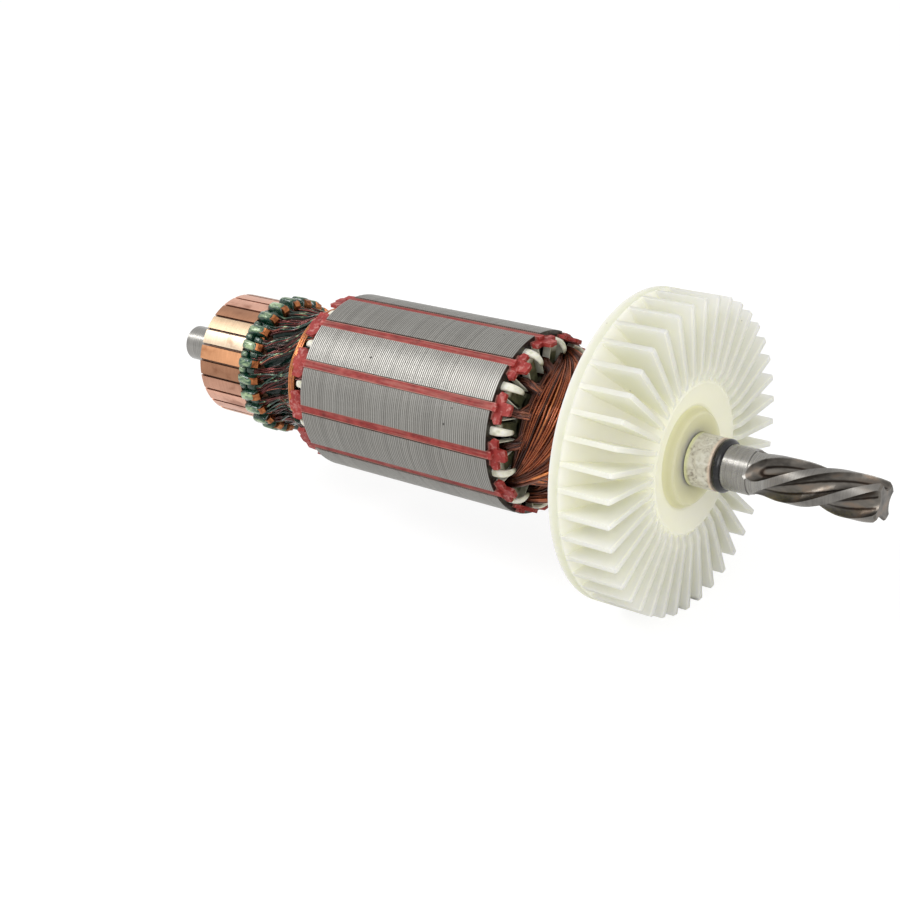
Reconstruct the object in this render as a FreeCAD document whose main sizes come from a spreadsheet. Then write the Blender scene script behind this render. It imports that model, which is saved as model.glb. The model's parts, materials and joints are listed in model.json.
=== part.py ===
import FreeCAD, Part
import math
import os

import Sketcher

# Wound armature of a power tool motor, in millimetres.
# The shaft lies along X with its helical pinion at +X. The origin is the centre of the
# drive-end bearing seat, and a core slot faces straight up, along +Z.

DIMENSIONS = [
    ("drive_seat_radius", 5.0, "radius of the drive-end bearing seat"),
    ("drive_seat_half", 2.9, "half the length of that seat"),
    ("shaft_radius", 4.75, "radius of the shaft between the two bearing seats"),
    ("journal_radius", 4.5, "radius of the bearing seat at the commutator"),
    ("stub_length", 17.0, "bare shaft beyond the commutator"),
    ("stub_chamfer", 0.7, "chamfer of the shaft's commutator end"),
    ("journal_shoulder", 1.6, "shoulder of that seat beyond the commutator"),
    ("pinion_radius", 4.8, "outer radius of the pinion, which the bearing slides over"),
    ("pinion_end", 31.6, "end of the pinion from the drive seat's centre"),
    ("pinion_chamfer", 0.6, "chamfer of the pinion's end"),
    ("pinion_teeth", 4, "helical teeth milled in the shaft"),
    ("pinion_lead", 56.4, "axial length of one turn of a tooth"),
    ("pinion_phase", 44.0, "angle of a tooth crest at the drive seat's centre"),
    ("pinion_root_radius", 2.5, "radius at the bottom of a flute"),
    ("flute_radius", 3.0, "radius of the cutter that mills a flute"),
    ("flute_start", 2.3, "where the flutes run out on the seat"),
    ("flute_runout", 5.4, "length over which a flute reaches full depth"),
    ("ring_section_radius", 1.0, "section radius of the rubber ring"),
    ("ring_outer_radius", 5.9, "outer radius of the rubber ring"),
    ("sleeve_radius", 5.9, "outer radius of the shaft insulation"),
    ("core_to_seat", 51.9, "fan end of the core from the drive seat's centre"),
    ("core_length", 55.0, "length of the lamination stack"),
    ("core_radius", 21.5, "outer radius of the laminations"),
    ("slot_count", 12, "slots in the core, and coils"),
    ("slot_opening", 2.6, "width of a slot's mouth"),
    ("slot_floor_radius", 12.4, "radius at the bottom of a slot"),
    ("tooth_width", 4.6, "width of a tooth, the same all the way down"),
    ("tooth_tip", 1.1, "thickness of a tooth's overhanging tip"),
    ("liner_thickness", 0.25, "slot paper"),
    ("liner_reach", 1.9, "slot paper beyond the core"),
    ("fit_gap", 0.05, "clearance between parts that are slid together"),
    ("wedge_thickness", 0.9, "thickness of a wedge under the tooth tips"),
    ("wedge_rib_width", 1.9, "width of the wedge's rib in the slot mouth"),
    ("wedge_rib_depth", 0.35, "how far the rib stays below the core's surface"),
    ("wedge_wing", 7.4, "width across the wings of a wedge's head"),
    ("wedge_fan_reach", 2.5, "wings of a wedge beyond the core towards the fan"),
    ("wedge_lead_reach", 4.1, "wings of a wedge beyond the core towards the commutator"),
    ("wedge_nose_reach", 4.6, "narrow nose of a wedge beyond the core"),
    ("wedge_nose_width", 2.6, "width of that nose"),
    ("plate_thickness", 1.1, "end insulator against the core"),
    ("plate_hub_radius", 11.6, "solid middle of an end insulator"),
    ("plate_arm_width", 4.0, "width of an end insulator's arm"),
    ("peg_width", 2.4, "width of a peg that holds the coils in"),
    ("peg_fan_reach", 5.0, "peg beyond the core towards the fan"),
    ("peg_lead_reach", 3.7, "peg beyond the core towards the commutator"),
    ("peg_thickness", 1.9, "thickness of a peg from its top"),
    ("peg_drop", 1.1, "how far a peg's tip turns down below its underside"),
    ("arm_overlap", 1.5, "how far an arm runs into the plate's middle"),
    ("coil_inner_radius", 13.0, "lowest wires of a coil side"),
    ("coil_clearance", 0.25, "room between a coil's highest wires and the wedge above them"),
    ("lead_side_radius", 15.2, "outer radius of the coil heads at the commutator"),
    ("coil_pitch", 5, "slots that a coil spans"),
    ("fan_head_pitch", 3.82, "axial room of each pair of coils towards the fan"),
    ("lead_head_pitch", 1.02, "axial room of each pair of coils towards the commutator"),
    ("head_gap", 0.08, "room between coil heads"),
    ("head_outer", 11.4, "outer edge of a coil head where it passes the shaft"),
    ("head_inner", 6.1, "inner edge of a coil head where it passes the shaft"),
    ("commutator_radius", 15.5, "radius of the brush track"),
    ("commutator_place", 20.9, "from the core to the back of the commutator bars"),
    ("hub_front_rise", 0.8, "moulding that stands out in front of the bars"),
    ("hub_front_inset", 1.2, "step from the bars' feet to that moulding"),
    ("hub_flange", 1.7, "moulding beyond the bars, under the leads"),
    ("hub_flange_drop", 0.4, "that moulding below the hooks' strips"),
    ("track_length", 14.4, "length of the brush track"),
    ("bar_count", 24, "commutator bars"),
    ("bar_gap_angle", 2.3, "angle between two bars"),
    ("bar_phase", 10.1, "angle of the first bar's middle"),
    ("bar_inner_radius", 10.6, "inner radius of a bar"),
    ("bar_foot", 1.8, "dovetail at each end of a bar's foot"),
    ("bar_edge", 0.4, "bevel of a bar's front edge"),
    ("riser_length", 5.2, "bar beyond the brush track"),
    ("riser_step", 0.5, "step down from the track to the riser"),
    ("hook_width", 1.7, "width of the hook that holds a lead"),
    ("hook_height", 1.65, "top of the hook above the brush track"),
    ("hook_thickness", 0.95, "thickness of the hook's strip"),
    ("hook_foot", 2.1, "length of the hook's strip that lies in the riser"),
    ("hook_bend", 1.3, "how far a hook bends out beyond its bar"),
    ("hook_tip", 1.0, "bare riser in front of a hook's tip"),
    ("undercut", 0.5, "how far the moulding lies below the bars in the gaps"),
    ("fin_thickness", 0.36, "moulding between two bars"),
    ("lead_radius", 0.5, "radius of a pair of leads"),
    ("lead_dip", 0.7, "how far a lead comes down on its way from the bed to its slot"),
    ("lead_shift", 40.0, "angle that the leads turn through on their way to the slots"),
    ("lead_clearance", 0.12, "room between a lead and the bed"),
    ("lead_pair_angle", 2.6, "angle from a slot's middle to each of its two leads"),
    ("waist_radius", 14.3, "thinnest part of the varnished bed"),
    ("waist_place", 5.2, "from the hub to that waist"),
    ("bed_cover", 1.2, "bed's edge beside the coil heads above the top of those heads"),
    ("bed_clearance", 0.2, "room between the bed and the coil heads"),
    ("fan_back", 25.7, "rim of the fan from the drive seat's centre"),
    ("fan_width", 14.7, "width of the fan"),
    ("fan_radius", 35.3, "outer radius of the fan"),
    ("fan_rim_width", 2.3, "smooth rim behind the blades"),
    ("fan_wall", 2.2, "wall of the fan's cone"),
    ("fan_edge", 0.4, "rounded edge of the fan's hub"),
    ("fan_crown_drop", 0.5, "front of the cone behind the blades' front plane"),
    ("fan_dish", 1.6, "dish of the front face round the hub"),
    ("fan_hub_flare", 0.9, "flare of the hub's foot in that dish"),
    ("fan_hub_recess", 1.5, "back of the hub from the rim's back"),
    ("blade_root", 1.2, "how far a blade runs into the cone"),
    ("fan_crown_radius", 16.6, "radius where the blades fade into the cone"),
    ("fan_hub_radius", 10.4, "radius of the hub's front face"),
    ("blade_count", 40, "fan blades"),
    ("blade_thickness", 1.1, "thickness of a blade"),
    ("blade_phase", 2.6, "angle of the first blade"),
]

document = FreeCAD.newDocument("armature")
sheet = document.addObject("Spreadsheet::Sheet", "dimensions")


class Size:
    """A size with both its number and its formula in the sheet's names."""

    def __init__(self, value, text=None):
        self.value = float(value)
        self.text = text if text is not None else repr(float(value))

    def __add__(self, other):
        other = size(other)
        return Size(self.value + other.value, f"({self.text} + {other.text})")

    def __sub__(self, other):
        other = size(other)
        return Size(self.value - other.value, f"({self.text} - {other.text})")

    def __mul__(self, other):
        other = size(other)
        return Size(self.value * other.value, f"({self.text} * {other.text})")

    def __truediv__(self, other):
        other = size(other)
        return Size(self.value / other.value, f"({self.text} / {other.text})")

    def __neg__(self):
        return Size(-self.value, f"(0 - {self.text})")

    def __radd__(self, other):
        return size(other) + self

    def __rsub__(self, other):
        return size(other) - self

    def __rmul__(self, other):
        return size(other) * self


def size(number):
    return number if isinstance(number, Size) else Size(number)


def fill_sheet():
    """Write every driving dimension to its own named cell and return them by name."""
    named = {}
    for row, (name, value, note) in enumerate(DIMENSIONS, start=1):
        sheet.set(f"A{row}", name)
        sheet.set(f"B{row}", str(value))
        sheet.set(f"C{row}", note)
        sheet.setAlias(f"B{row}", name)
        named[name] = Size(value, f"dimensions.{name}")
    document.recompute()
    return named


d = fill_sheet()

# Places along the shaft and radii that follow from the driving dimensions

core_fan_end = -d["core_to_seat"]
core_lead_end = core_fan_end - d["core_length"]
riser_end = core_lead_end - d["commutator_place"]
track_end = riser_end - d["riser_length"]
commutator_end = track_end - d["track_length"]
shaft_end = commutator_end - d["stub_length"]
seat_start = -d["drive_seat_half"]
ring_width = d["ring_section_radius"] * 2
sleeve_end = seat_start - ring_width - d["fit_gap"] * 2
ring_seat_radius = d["ring_outer_radius"] - ring_width
hub_end = riser_end + d["hub_flange"]
slot_angle = Size(360) / d["slot_count"]
bar_angle = Size(360) / d["bar_count"]
tooth_tip_radius = d["core_radius"] - d["tooth_tip"]
wedge_top_radius = tooth_tip_radius - d["fit_gap"]
wedge_bottom_radius = wedge_top_radius - d["wedge_thickness"]
coil_outer_radius = wedge_bottom_radius - d["coil_clearance"]
hook_top = d["commutator_radius"] + d["hook_height"]
riser_radius = d["commutator_radius"] - d["riser_step"]
half_slot = math.radians(180.0 / d["slot_count"].value)
tooth_lean = Size(math.cos(half_slot), f"cos(180 / {d['slot_count'].text})")
slot_spread = Size(math.tan(half_slot), f"tan(180 / {d['slot_count'].text})")


def slot_half_width(radius):
    """Half the width of a slot at a radius, between teeth of constant width."""
    return size(radius) * slot_spread - d["tooth_width"] / 2 / tooth_lean


def new_body(label):
    body = document.addObject("PartDesign::Body", label)
    body.Label = label
    return body


def turn(piece, angle):
    """Turn a sub-part about the shaft; zero is straight up."""
    angle = size(angle)
    axis = FreeCAD.Vector(1, 0, 0)
    piece.Placement = FreeCAD.Placement(FreeCAD.Vector(), FreeCAD.Rotation(axis, angle.value))
    if "dimensions." in angle.text:
        piece.setExpression("Placement.Rotation.Angle", angle.text)


def new_sketch(body, name, role, shift=None):
    """A sketch on one of the body's own origin planes, moved along the plane's normal."""
    sketch = body.newObject("Sketcher::SketchObject", f"{body.Label}_{name}")
    plane = next(item for item in body.Origin.OriginFeatures if item.Role == role)
    sketch.AttachmentSupport = [(plane, "")]
    sketch.MapMode = "FlatFace"
    if shift is not None:
        shift = size(shift)
        offset = FreeCAD.Vector(0, 0, shift.value)
        sketch.AttachmentOffset = FreeCAD.Placement(offset, FreeCAD.Rotation())
        sketch.setExpression("AttachmentOffset.Base.z", shift.text)
    return sketch


def pin_corner(sketch, line, kind, distance):
    """Hold a line's start at a distance from the sketch's origin along one axis."""
    distance = size(distance)
    if distance.text == "0.0":
        axis = -2 if kind == "DistanceX" else -1
        sketch.addConstraint(Sketcher.Constraint("PointOnObject", line, 1, axis))
        return
    index = sketch.addConstraint(Sketcher.Constraint(kind, -1, 1, line, 1, distance.value))
    if "dimensions." in distance.text:
        sketch.setExpression(f"Constraints[{index}]", distance.text)


def polygon(sketch, corners):
    """A closed outline whose corners are bound to the sheet."""
    points = [FreeCAD.Vector(size(x).value, size(y).value, 0) for x, y in corners]
    count = len(points)
    for index in range(count):
        line = Part.LineSegment(points[index], points[(index + 1) % count])
        sketch.addGeometry(line, False)
    for index in range(count):
        following = (index + 1) % count
        sketch.addConstraint(Sketcher.Constraint("Coincident", index, 2, following, 1))
    for index, (x, y) in enumerate(corners):
        pin_corner(sketch, index, "DistanceX", x)
        pin_corner(sketch, index, "DistanceY", y)


def circle(sketch, radius):
    index = sketch.addGeometry(Part.Circle(FreeCAD.Vector(), FreeCAD.Vector(0, 0, 1), radius.value), False)
    sketch.addConstraint(Sketcher.Constraint("Coincident", index, 3, -1, 1))
    held = sketch.addConstraint(Sketcher.Constraint("Radius", index, radius.value))
    sketch.setExpression(f"Constraints[{held}]", radius.text)


def revolve(body, name, corners, angle=360):
    """Turn an outline of (x, radius) corners about the shaft's axis."""
    sketch = new_sketch(body, name + "_outline", "XZ_Plane")
    polygon(sketch, corners)
    feature = body.newObject("PartDesign::Revolution", f"{body.Label}_{name}")
    feature.Profile = sketch
    feature.ReferenceAxis = (sketch, ["H_Axis"])
    angle = size(angle)
    feature.Angle = angle.value
    if "dimensions." in angle.text:
        feature.setExpression("Angle", angle.text)
        feature.Midplane = True
    return feature


def pad(body, name, sketch, length, both_ways=False):
    length = size(length)
    feature = body.newObject("PartDesign::Pad", f"{body.Label}_{name}")
    feature.Profile = sketch
    feature.Length = length.value
    feature.setExpression("Length", length.text)
    if both_ways:
        feature.Midplane = True
    return feature


def pad_along(body, name, corners, start, length):
    """A prism along the shaft of an outline of (y, z) corners."""
    sketch = new_sketch(body, name + "_outline", "YZ_Plane", start)
    polygon(sketch, corners)
    return pad(body, name, sketch, length)


def pad_across(body, name, corners, width):
    """A flat plate of (x, radius) corners that stands on the shaft's axis."""
    sketch = new_sketch(body, name + "_outline", "XZ_Plane")
    polygon(sketch, corners)
    return pad(body, name, sketch, width, both_ways=True)


def pattern(body, name, features, count):
    """Repeat features evenly about the shaft."""
    feature = body.newObject("PartDesign::PolarPattern", f"{body.Label}_{name}")
    feature.Originals = features
    axis = next(item for item in body.Origin.OriginFeatures if item.Role == "X_Axis")
    feature.Axis = (axis, [""])
    feature.Angle = 360
    feature.Occurrences = int(count.value)
    feature.setExpression("Occurrences", count.text)
    body.Tip = feature
    return feature


def mirror_y(corners):
    return [(-size(y), z) for y, z in reversed(corners)]


# Shaft: turned blank with its seats, and four helical flutes that run out on the seat

def make_shaft():
    blank = new_body("shaft_blank")
    revolve(blank, "turned", [
        (shaft_end, 0),
        (shaft_end, d["journal_radius"] - d["stub_chamfer"]),
        (shaft_end + d["stub_chamfer"], d["journal_radius"]),
        (commutator_end - d["journal_shoulder"], d["journal_radius"]),
        (commutator_end - d["journal_shoulder"], d["shaft_radius"]),
        (sleeve_end, d["shaft_radius"]),
        (sleeve_end, ring_seat_radius),
        (seat_start, ring_seat_radius),
        (seat_start, d["drive_seat_radius"]),
        (d["drive_seat_half"], d["drive_seat_radius"]),
        (d["drive_seat_half"], d["pinion_radius"]),
        (d["pinion_end"] - d["pinion_chamfer"], d["pinion_radius"]),
        (d["pinion_end"], d["pinion_radius"] - d["pinion_chamfer"]),
        (d["pinion_end"], 0),
    ])
    flutes = document.addObject("Part::Feature", "pinion_flutes")
    flutes.Shape = Part.makeCompound([flute(index) for index in range(int(d["pinion_teeth"].value))])
    shaft = document.addObject("Part::Cut", "shaft")
    shaft.Label = "shaft"
    shaft.Base = blank
    shaft.Tool = flutes
    return shaft


def flute(index):
    """The path of a round cutter along one helical flute, with its run-out at the seat."""
    start = d["flute_start"].value
    full = start + d["flute_runout"].value
    cutter = d["flute_radius"].value
    depth_at = d["pinion_root_radius"].value + cutter
    clear_at = d["drive_seat_radius"].value + cutter
    gap_angle = 360.0 / d["pinion_teeth"].value
    stations = 15
    end = d["pinion_end"].value + 1.0
    sections = []
    for step in range(stations):
        x = start - 0.6 + (end - start + 0.6) * step / (stations - 1)
        rise = max(0.0, (full - x) / (full - start))
        centre = depth_at + (clear_at - depth_at) * rise * rise
        angle = d["pinion_phase"].value + gap_angle * (index + 0.5) - 360.0 * x / d["pinion_lead"].value
        y = -centre * math.sin(math.radians(angle))
        z = centre * math.cos(math.radians(angle))
        ring = Part.Circle(FreeCAD.Vector(x, y, z), FreeCAD.Vector(1, 0, 0), cutter)
        sections.append(Part.Wire([ring.toShape()]))
    return Part.makeLoft(sections, True, True)


def make_rubber_ring():
    """Ring with an eight-sided section, which bulges out of the shaft's groove."""
    body = new_body("rubber_ring")
    middle = seat_start - d["ring_section_radius"] - d["fit_gap"]
    height = d["ring_outer_radius"] - d["ring_section_radius"]
    corners = []
    for corner in range(8):
        angle = math.radians(22.5 + 45 * corner)
        along = middle + d["ring_section_radius"] * (math.cos(angle) / math.cos(math.radians(22.5)))
        up = height + d["ring_section_radius"] * (math.sin(angle) / math.cos(math.radians(22.5)))
        corners.append((along, up))
    revolve(body, "section", corners)
    return body


def make_sleeve():
    """Moulded insulation on the shaft, from the rubber ring to the commutator."""
    body = new_body("shaft_insulation")
    revolve(body, "tube", [
        (hub_end, d["shaft_radius"]),
        (hub_end, d["sleeve_radius"]),
        (sleeve_end, d["sleeve_radius"]),
        (sleeve_end, d["shaft_radius"]),
    ])
    return body


# Core: straight slots with overhanging tooth tips

def make_core():
    body = new_body("core_laminations")
    ring = new_sketch(body, "disc_outline", "YZ_Plane", core_lead_end)
    circle(ring, d["core_radius"])
    circle(ring, d["sleeve_radius"])
    pad(body, "disc", ring, d["core_length"])
    cut = new_sketch(body, "slot_outline", "YZ_Plane", core_lead_end)
    mouth = d["slot_opening"] / 2
    shoulder = slot_half_width(tooth_tip_radius)
    floor = slot_half_width(d["slot_floor_radius"])
    polygon(cut, [
        (-floor, d["slot_floor_radius"]),
        (floor, d["slot_floor_radius"]),
        (shoulder, tooth_tip_radius),
        (mouth, tooth_tip_radius),
        (mouth, d["core_radius"] + 1),
        (-mouth, d["core_radius"] + 1),
        (-mouth, tooth_tip_radius),
        (-shoulder, tooth_tip_radius),
    ])
    slot = body.newObject("PartDesign::Pocket", "core_laminations_slot")
    slot.Profile = cut
    slot.Type = "ThroughAll"
    slot.Midplane = True
    pattern(body, "slots", [slot], d["slot_count"])
    return body


def liner_corners(inset):
    """Right half of a slot's wall, set in by a distance."""
    inset = size(inset)
    top = wedge_bottom_radius - d["fit_gap"]
    low = d["slot_floor_radius"] + inset
    return [(slot_half_width(low) - inset, low), (slot_half_width(top) - inset, top)]


def make_slot_liners():
    """Folded slot papers, one in each slot, open towards the wedge."""
    outer = liner_corners(d["fit_gap"])
    inner = liner_corners(d["fit_gap"] + d["liner_thickness"])
    body = new_body("slot_liner_form")
    corners = [outer[0], outer[1], inner[1], inner[0]]
    outline = corners + mirror_y(corners)
    reach = d["liner_reach"]
    pad_along(body, "paper", outline, core_lead_end - reach, d["core_length"] + reach * 2)
    document.recompute()
    liners = document.addObject("Part::Feature", "slot_liners")
    liners.Label = "slot_liners"
    copies = []
    for index in range(int(d["slot_count"].value)):
        copy = body.Shape.copy()
        copy.rotate(FreeCAD.Vector(), FreeCAD.Vector(1, 0, 0), slot_angle.value * index)
        copies.append(copy)
    liners.Shape = Part.makeCompound(copies)
    return liners


# Wedges: red fibre strips that close the slots, with a winged head and a nose at each end

def wedge_head(body, name, face, outward, wing_reach):
    """The head beyond the core, seen from above; outward is +1 towards the fan and -1 away."""
    wing = d["wedge_wing"] / 2
    nose = d["wedge_nose_width"] / 2
    tip = d["wedge_nose_reach"]
    profile = [
        (d["fit_gap"], nose * 1.7),
        (wing_reach * 0.45, wing),
        (wing_reach, wing * 0.92),
        (wing_reach * 0.96, nose * 1.15),
        (tip * 0.94, nose),
        (tip, nose * 0.7),
    ]
    side = [(face + size(x) * outward, size(y)) for x, y in profile]
    corners = side + [(x, -y) for x, y in reversed(side)]
    sketch = new_sketch(body, name + "_outline", "XY_Plane", wedge_bottom_radius)
    polygon(sketch, corners if outward > 0 else list(reversed(corners)))
    return pad(body, name, sketch, d["wedge_thickness"])


def make_wedge(index):
    body = new_body(f"slot_wedge_{index + 1:02d}")
    rib = d["wedge_rib_width"] / 2
    rib_top = d["core_radius"] - d["wedge_rib_depth"]
    base = slot_half_width(wedge_bottom_radius) - d["fit_gap"]
    overlap = d["wedge_fan_reach"] / 2
    pad_along(body, "strip", [
        (-base, wedge_bottom_radius),
        (base, wedge_bottom_radius),
        (base, wedge_top_radius),
        (rib, wedge_top_radius),
        (rib, rib_top),
        (-rib, rib_top),
        (-rib, wedge_top_radius),
        (-base, wedge_top_radius),
    ], core_lead_end - overlap, d["core_length"] + overlap * 2)
    wedge_head(body, "fan_head", core_fan_end, 1, d["wedge_fan_reach"])
    wedge_head(body, "lead_head", core_lead_end, -1, d["wedge_lead_reach"])
    turn(body, slot_angle * index)
    return body


# End insulators: plates against the core with an arm and a peg on each tooth

def make_end_insulator(label, face, outward, reach):
    """outward is +1 towards the fan and -1 towards the commutator; reach is that of its pegs."""
    body = new_body(label)
    start = face if outward > 0 else face - d["plate_thickness"]
    hub = new_sketch(body, "hub_outline", "YZ_Plane", start)
    circle(hub, d["plate_hub_radius"])
    circle(hub, d["sleeve_radius"] + d["fit_gap"])
    pad(body, "hub", hub, d["plate_thickness"])
    arm = d["plate_arm_width"] / 2
    arm_top = coil_outer_radius
    plate = pad_along(body, "arm", [
        (-arm, d["plate_hub_radius"] - d["arm_overlap"]),
        (arm, d["plate_hub_radius"] - d["arm_overlap"]),
        (arm, arm_top),
        (-arm, arm_top),
    ], start, d["plate_thickness"])
    high = wedge_top_radius
    thickness = d["peg_thickness"]
    low = high - thickness
    tip = low - d["peg_drop"]
    profile = [
        (0, low),
        (0, high),
        (reach - thickness, high),
        (reach - thickness * 0.4, high - thickness * 0.3),
        (reach, high - thickness * 0.9),
        (reach, tip),
        (reach - thickness * 0.7, tip),
        (reach - thickness * 0.9, low),
    ]
    corners = [(face + size(x) * outward, z) for x, z in profile]
    if outward < 0:
        corners.reverse()
    peg = pad_across(body, "peg", corners, d["peg_width"])
    pattern(body, "arms", [plate, peg], d["slot_count"])
    turn(body, slot_angle / 2)
    return body


# Coils: each lies in two slots and crosses the shaft at both ends.
# Opposite coils are wound together, so they share one level of the winding heads.

def head_level(index):
    """Level of a coil in the winding heads; the last pair wound lies furthest out."""
    return index % (int(d["slot_count"].value) // 2)


def half_slot_corners(outer_radius, side):
    """Half of a slot's inside, beside the slot's middle; side is +1 or -1."""
    wall = d["liner_thickness"] + d["fit_gap"] * 2
    low = d["coil_inner_radius"]
    half = [
        (d["fit_gap"], low),
        (slot_half_width(low) - wall, low),
        (slot_half_width(outer_radius) - wall, outer_radius),
        (d["fit_gap"], outer_radius),
    ]
    return mirror_y(half) if side < 0 else half


def swing(corners, angle):
    """Turn (y, z) corners about the shaft by a signed angle."""
    angle = size(angle)
    sine = Size(math.sin(math.radians(angle.value)), f"sin({angle.text})")
    cosine = Size(math.cos(math.radians(angle.value)), f"cos({angle.text})")
    return [
        (size(y) * cosine - size(z) * sine, size(y) * sine + size(z) * cosine)
        for y, z in corners
    ]


def head_corners(outer_radius):
    """Outline of a coil head seen along the shaft, from one slot to the other."""
    span = slot_angle * d["coil_pitch"] / 2
    inner_top, wall_top, wall_low, inner_low = swing(half_slot_corners(outer_radius, -1), -span)
    side = [
        (d["head_outer"] * 0.3, d["head_outer"]),
        (d["head_outer"] * 0.83, d["head_outer"] * 0.7),
        wall_top,
        inner_top,
        inner_low,
        (d["head_outer"] * 0.33, d["head_inner"]),
    ]
    return side + mirror_y(side)


def make_coil(index):
    body = new_body(f"coil_{index + 1:02d}")
    span = slot_angle * d["coil_pitch"] / 2
    level = head_level(index)
    clear = d["liner_reach"] + d["head_gap"]
    fan_start = core_fan_end + clear + d["fan_head_pitch"] * level
    lead_end = core_lead_end - clear - d["lead_head_pitch"] * level
    fan_head = d["fan_head_pitch"] - d["head_gap"]
    lead_head = d["lead_head_pitch"] - d["head_gap"]
    pad_along(body, "fan_head", head_corners(coil_outer_radius), fan_start, fan_head)
    pad_along(
        body, "lead_head", head_corners(d["lead_side_radius"]), lead_end - lead_head, lead_head
    )
    for name, side in (("first", -1), ("second", 1)):
        full = swing(half_slot_corners(coil_outer_radius, side), span * side)
        low = swing(half_slot_corners(d["lead_side_radius"], side), span * side)
        start = core_lead_end - d["liner_reach"]
        pad_along(body, name + "_side", full, start, fan_start - start + d["head_gap"])
        pad_along(body, name + "_leg", low, lead_end - d["head_gap"], start - lead_end + d["head_gap"] * 3)
    body.AllowCompound = True
    turn(body, slot_angle * index + span)
    return body


# Commutator: copper bars with hooks, held in a moulded hub that also fills the gaps

def make_bar(index):
    body = new_body(f"commutator_bar_{index + 1:02d}")
    radius = d["commutator_radius"]
    inner = d["bar_inner_radius"]
    foot = d["bar_foot"]
    lip = inner + foot
    revolve(body, "bar", [
        (commutator_end, lip),
        (commutator_end, radius - d["bar_edge"]),
        (commutator_end + d["bar_edge"], radius),
        (track_end, radius),
        (track_end, riser_radius),
        (riser_end, riser_radius),
        (riser_end, lip),
        (riser_end - foot, inner),
        (commutator_end + foot, inner),
    ], bar_angle - d["bar_gap_angle"])
    strip = d["hook_thickness"]
    bend = d["hook_bend"]
    tip = track_end + d["hook_tip"]
    pad_across(body, "hook", [
        (riser_end - d["hook_foot"], riser_radius - strip),
        (riser_end + bend * 0.3, riser_radius - strip),
        (riser_end + bend * 0.85, riser_radius - strip * 0.3),
        (riser_end + bend, riser_radius + strip * 0.9),
        (riser_end + bend * 0.6, hook_top - strip * 0.35),
        (riser_end - bend * 0.3, hook_top),
        (tip + strip * 0.4, hook_top - strip * 0.15),
        (tip, hook_top - strip * 0.7),
        (tip + strip * 0.4, hook_top - strip * 1.1),
        (riser_end - strip * 0.6, hook_top - strip),
        (riser_end, hook_top - strip * 1.4),
        (riser_end, riser_radius),
        (riser_end - d["hook_foot"], riser_radius),
    ], d["hook_width"])
    turn(body, bar_angle * index + d["bar_phase"])
    return body


def make_commutator_hub():
    body = new_body("commutator_hub")
    inner = d["bar_inner_radius"]
    foot = d["bar_foot"]
    lip = inner + foot
    gap = d["fit_gap"]
    front = commutator_end - d["hub_front_rise"]
    flange = riser_radius - d["hook_thickness"] - d["hub_flange_drop"]
    revolve(body, "moulding", [
        (front, d["shaft_radius"]),
        (front, inner - d["hub_front_inset"]),
        (commutator_end, lip - gap),
        (commutator_end + foot - gap, inner - gap),
        (riser_end - foot + gap, inner - gap),
        (riser_end + gap, lip - gap),
        (riser_end + gap, flange),
        (hub_end, flange),
        (hub_end, d["shaft_radius"]),
    ])
    track_top = d["commutator_radius"] - d["undercut"]
    riser_top = riser_radius - d["undercut"] * 0.4
    fin_start = commutator_end + d["bar_edge"]
    fin_root = inner - d["hub_front_inset"]
    fin = pad_across(body, "fin", [
        (fin_start, fin_root),
        (fin_start, track_top),
        (track_end, track_top),
        (track_end, riser_top),
        (riser_end - gap, riser_top),
        (riser_end - gap, fin_root),
    ], d["fin_thickness"])
    pattern(body, "fins", [fin], d["bar_count"])
    turn(body, d["bar_phase"] + bar_angle / 2)
    return body


# Leads: varnished bed around the coil heads, and a pair of wires from each hook to its slot

head_room = d["lead_head_pitch"] * d["slot_count"] / 2 + d["liner_reach"] + d["bed_clearance"]
bed_start = hub_end + d["fit_gap"]
bed_end = core_lead_end - head_room
leads_end = core_lead_end - d["liner_reach"] - d["lead_radius"]
BED = [
    (bed_start, riser_radius),
    (hub_end + d["waist_place"], d["waist_radius"]),
    (bed_end, d["lead_side_radius"] + d["bed_cover"]),
]


def make_lead_bed():
    body = new_body("varnished_lead_bed")
    inner = d["sleeve_radius"] + d["fit_gap"]
    revolve(body, "mass", [(bed_start, inner)] + BED + [(bed_end, inner)])
    return body


def lead_floor(x):
    """Radius under a lead: the bed's surface, and beyond the bed a line down to the slots."""
    ground = BED + [(leads_end, BED[-1][1] - d["lead_dip"])]
    for (x0, r0), (x1, r1) in zip(ground, ground[1:]):
        if x <= x1.value:
            share = max(0.0, (x - x0.value) / (x1.value - x0.value))
            return r0.value + (r1.value - r0.value) * share
    return ground[-1][1].value


def on_shaft(x, radius, angle):
    """A point by its place along the shaft, its radius and its angle from straight up."""
    turned = math.radians(angle)
    return FreeCAD.Vector(x, -radius * math.sin(turned), radius * math.cos(turned))


def tube(points, radius, sides=4):
    """A thin straight-sided tube through points on a shaft-centred surface."""
    sections = []
    for index, point in enumerate(points):
        before = points[max(index - 1, 0)]
        after = points[min(index + 1, len(points) - 1)]
        along = (after - before).normalize()
        outward = FreeCAD.Vector(0, point.y, point.z).normalize()
        sideways = along.cross(outward).normalize()
        outward = sideways.cross(along)
        ring = []
        for corner in range(sides):
            angle = 2 * math.pi * (corner + 0.5) / sides
            ring.append(point + outward * (radius * math.cos(angle)) + sideways * (radius * math.sin(angle)))
        sections.append(Part.makePolygon(ring + ring[:1]))
    return Part.makeLoft(sections, True, True)


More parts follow.
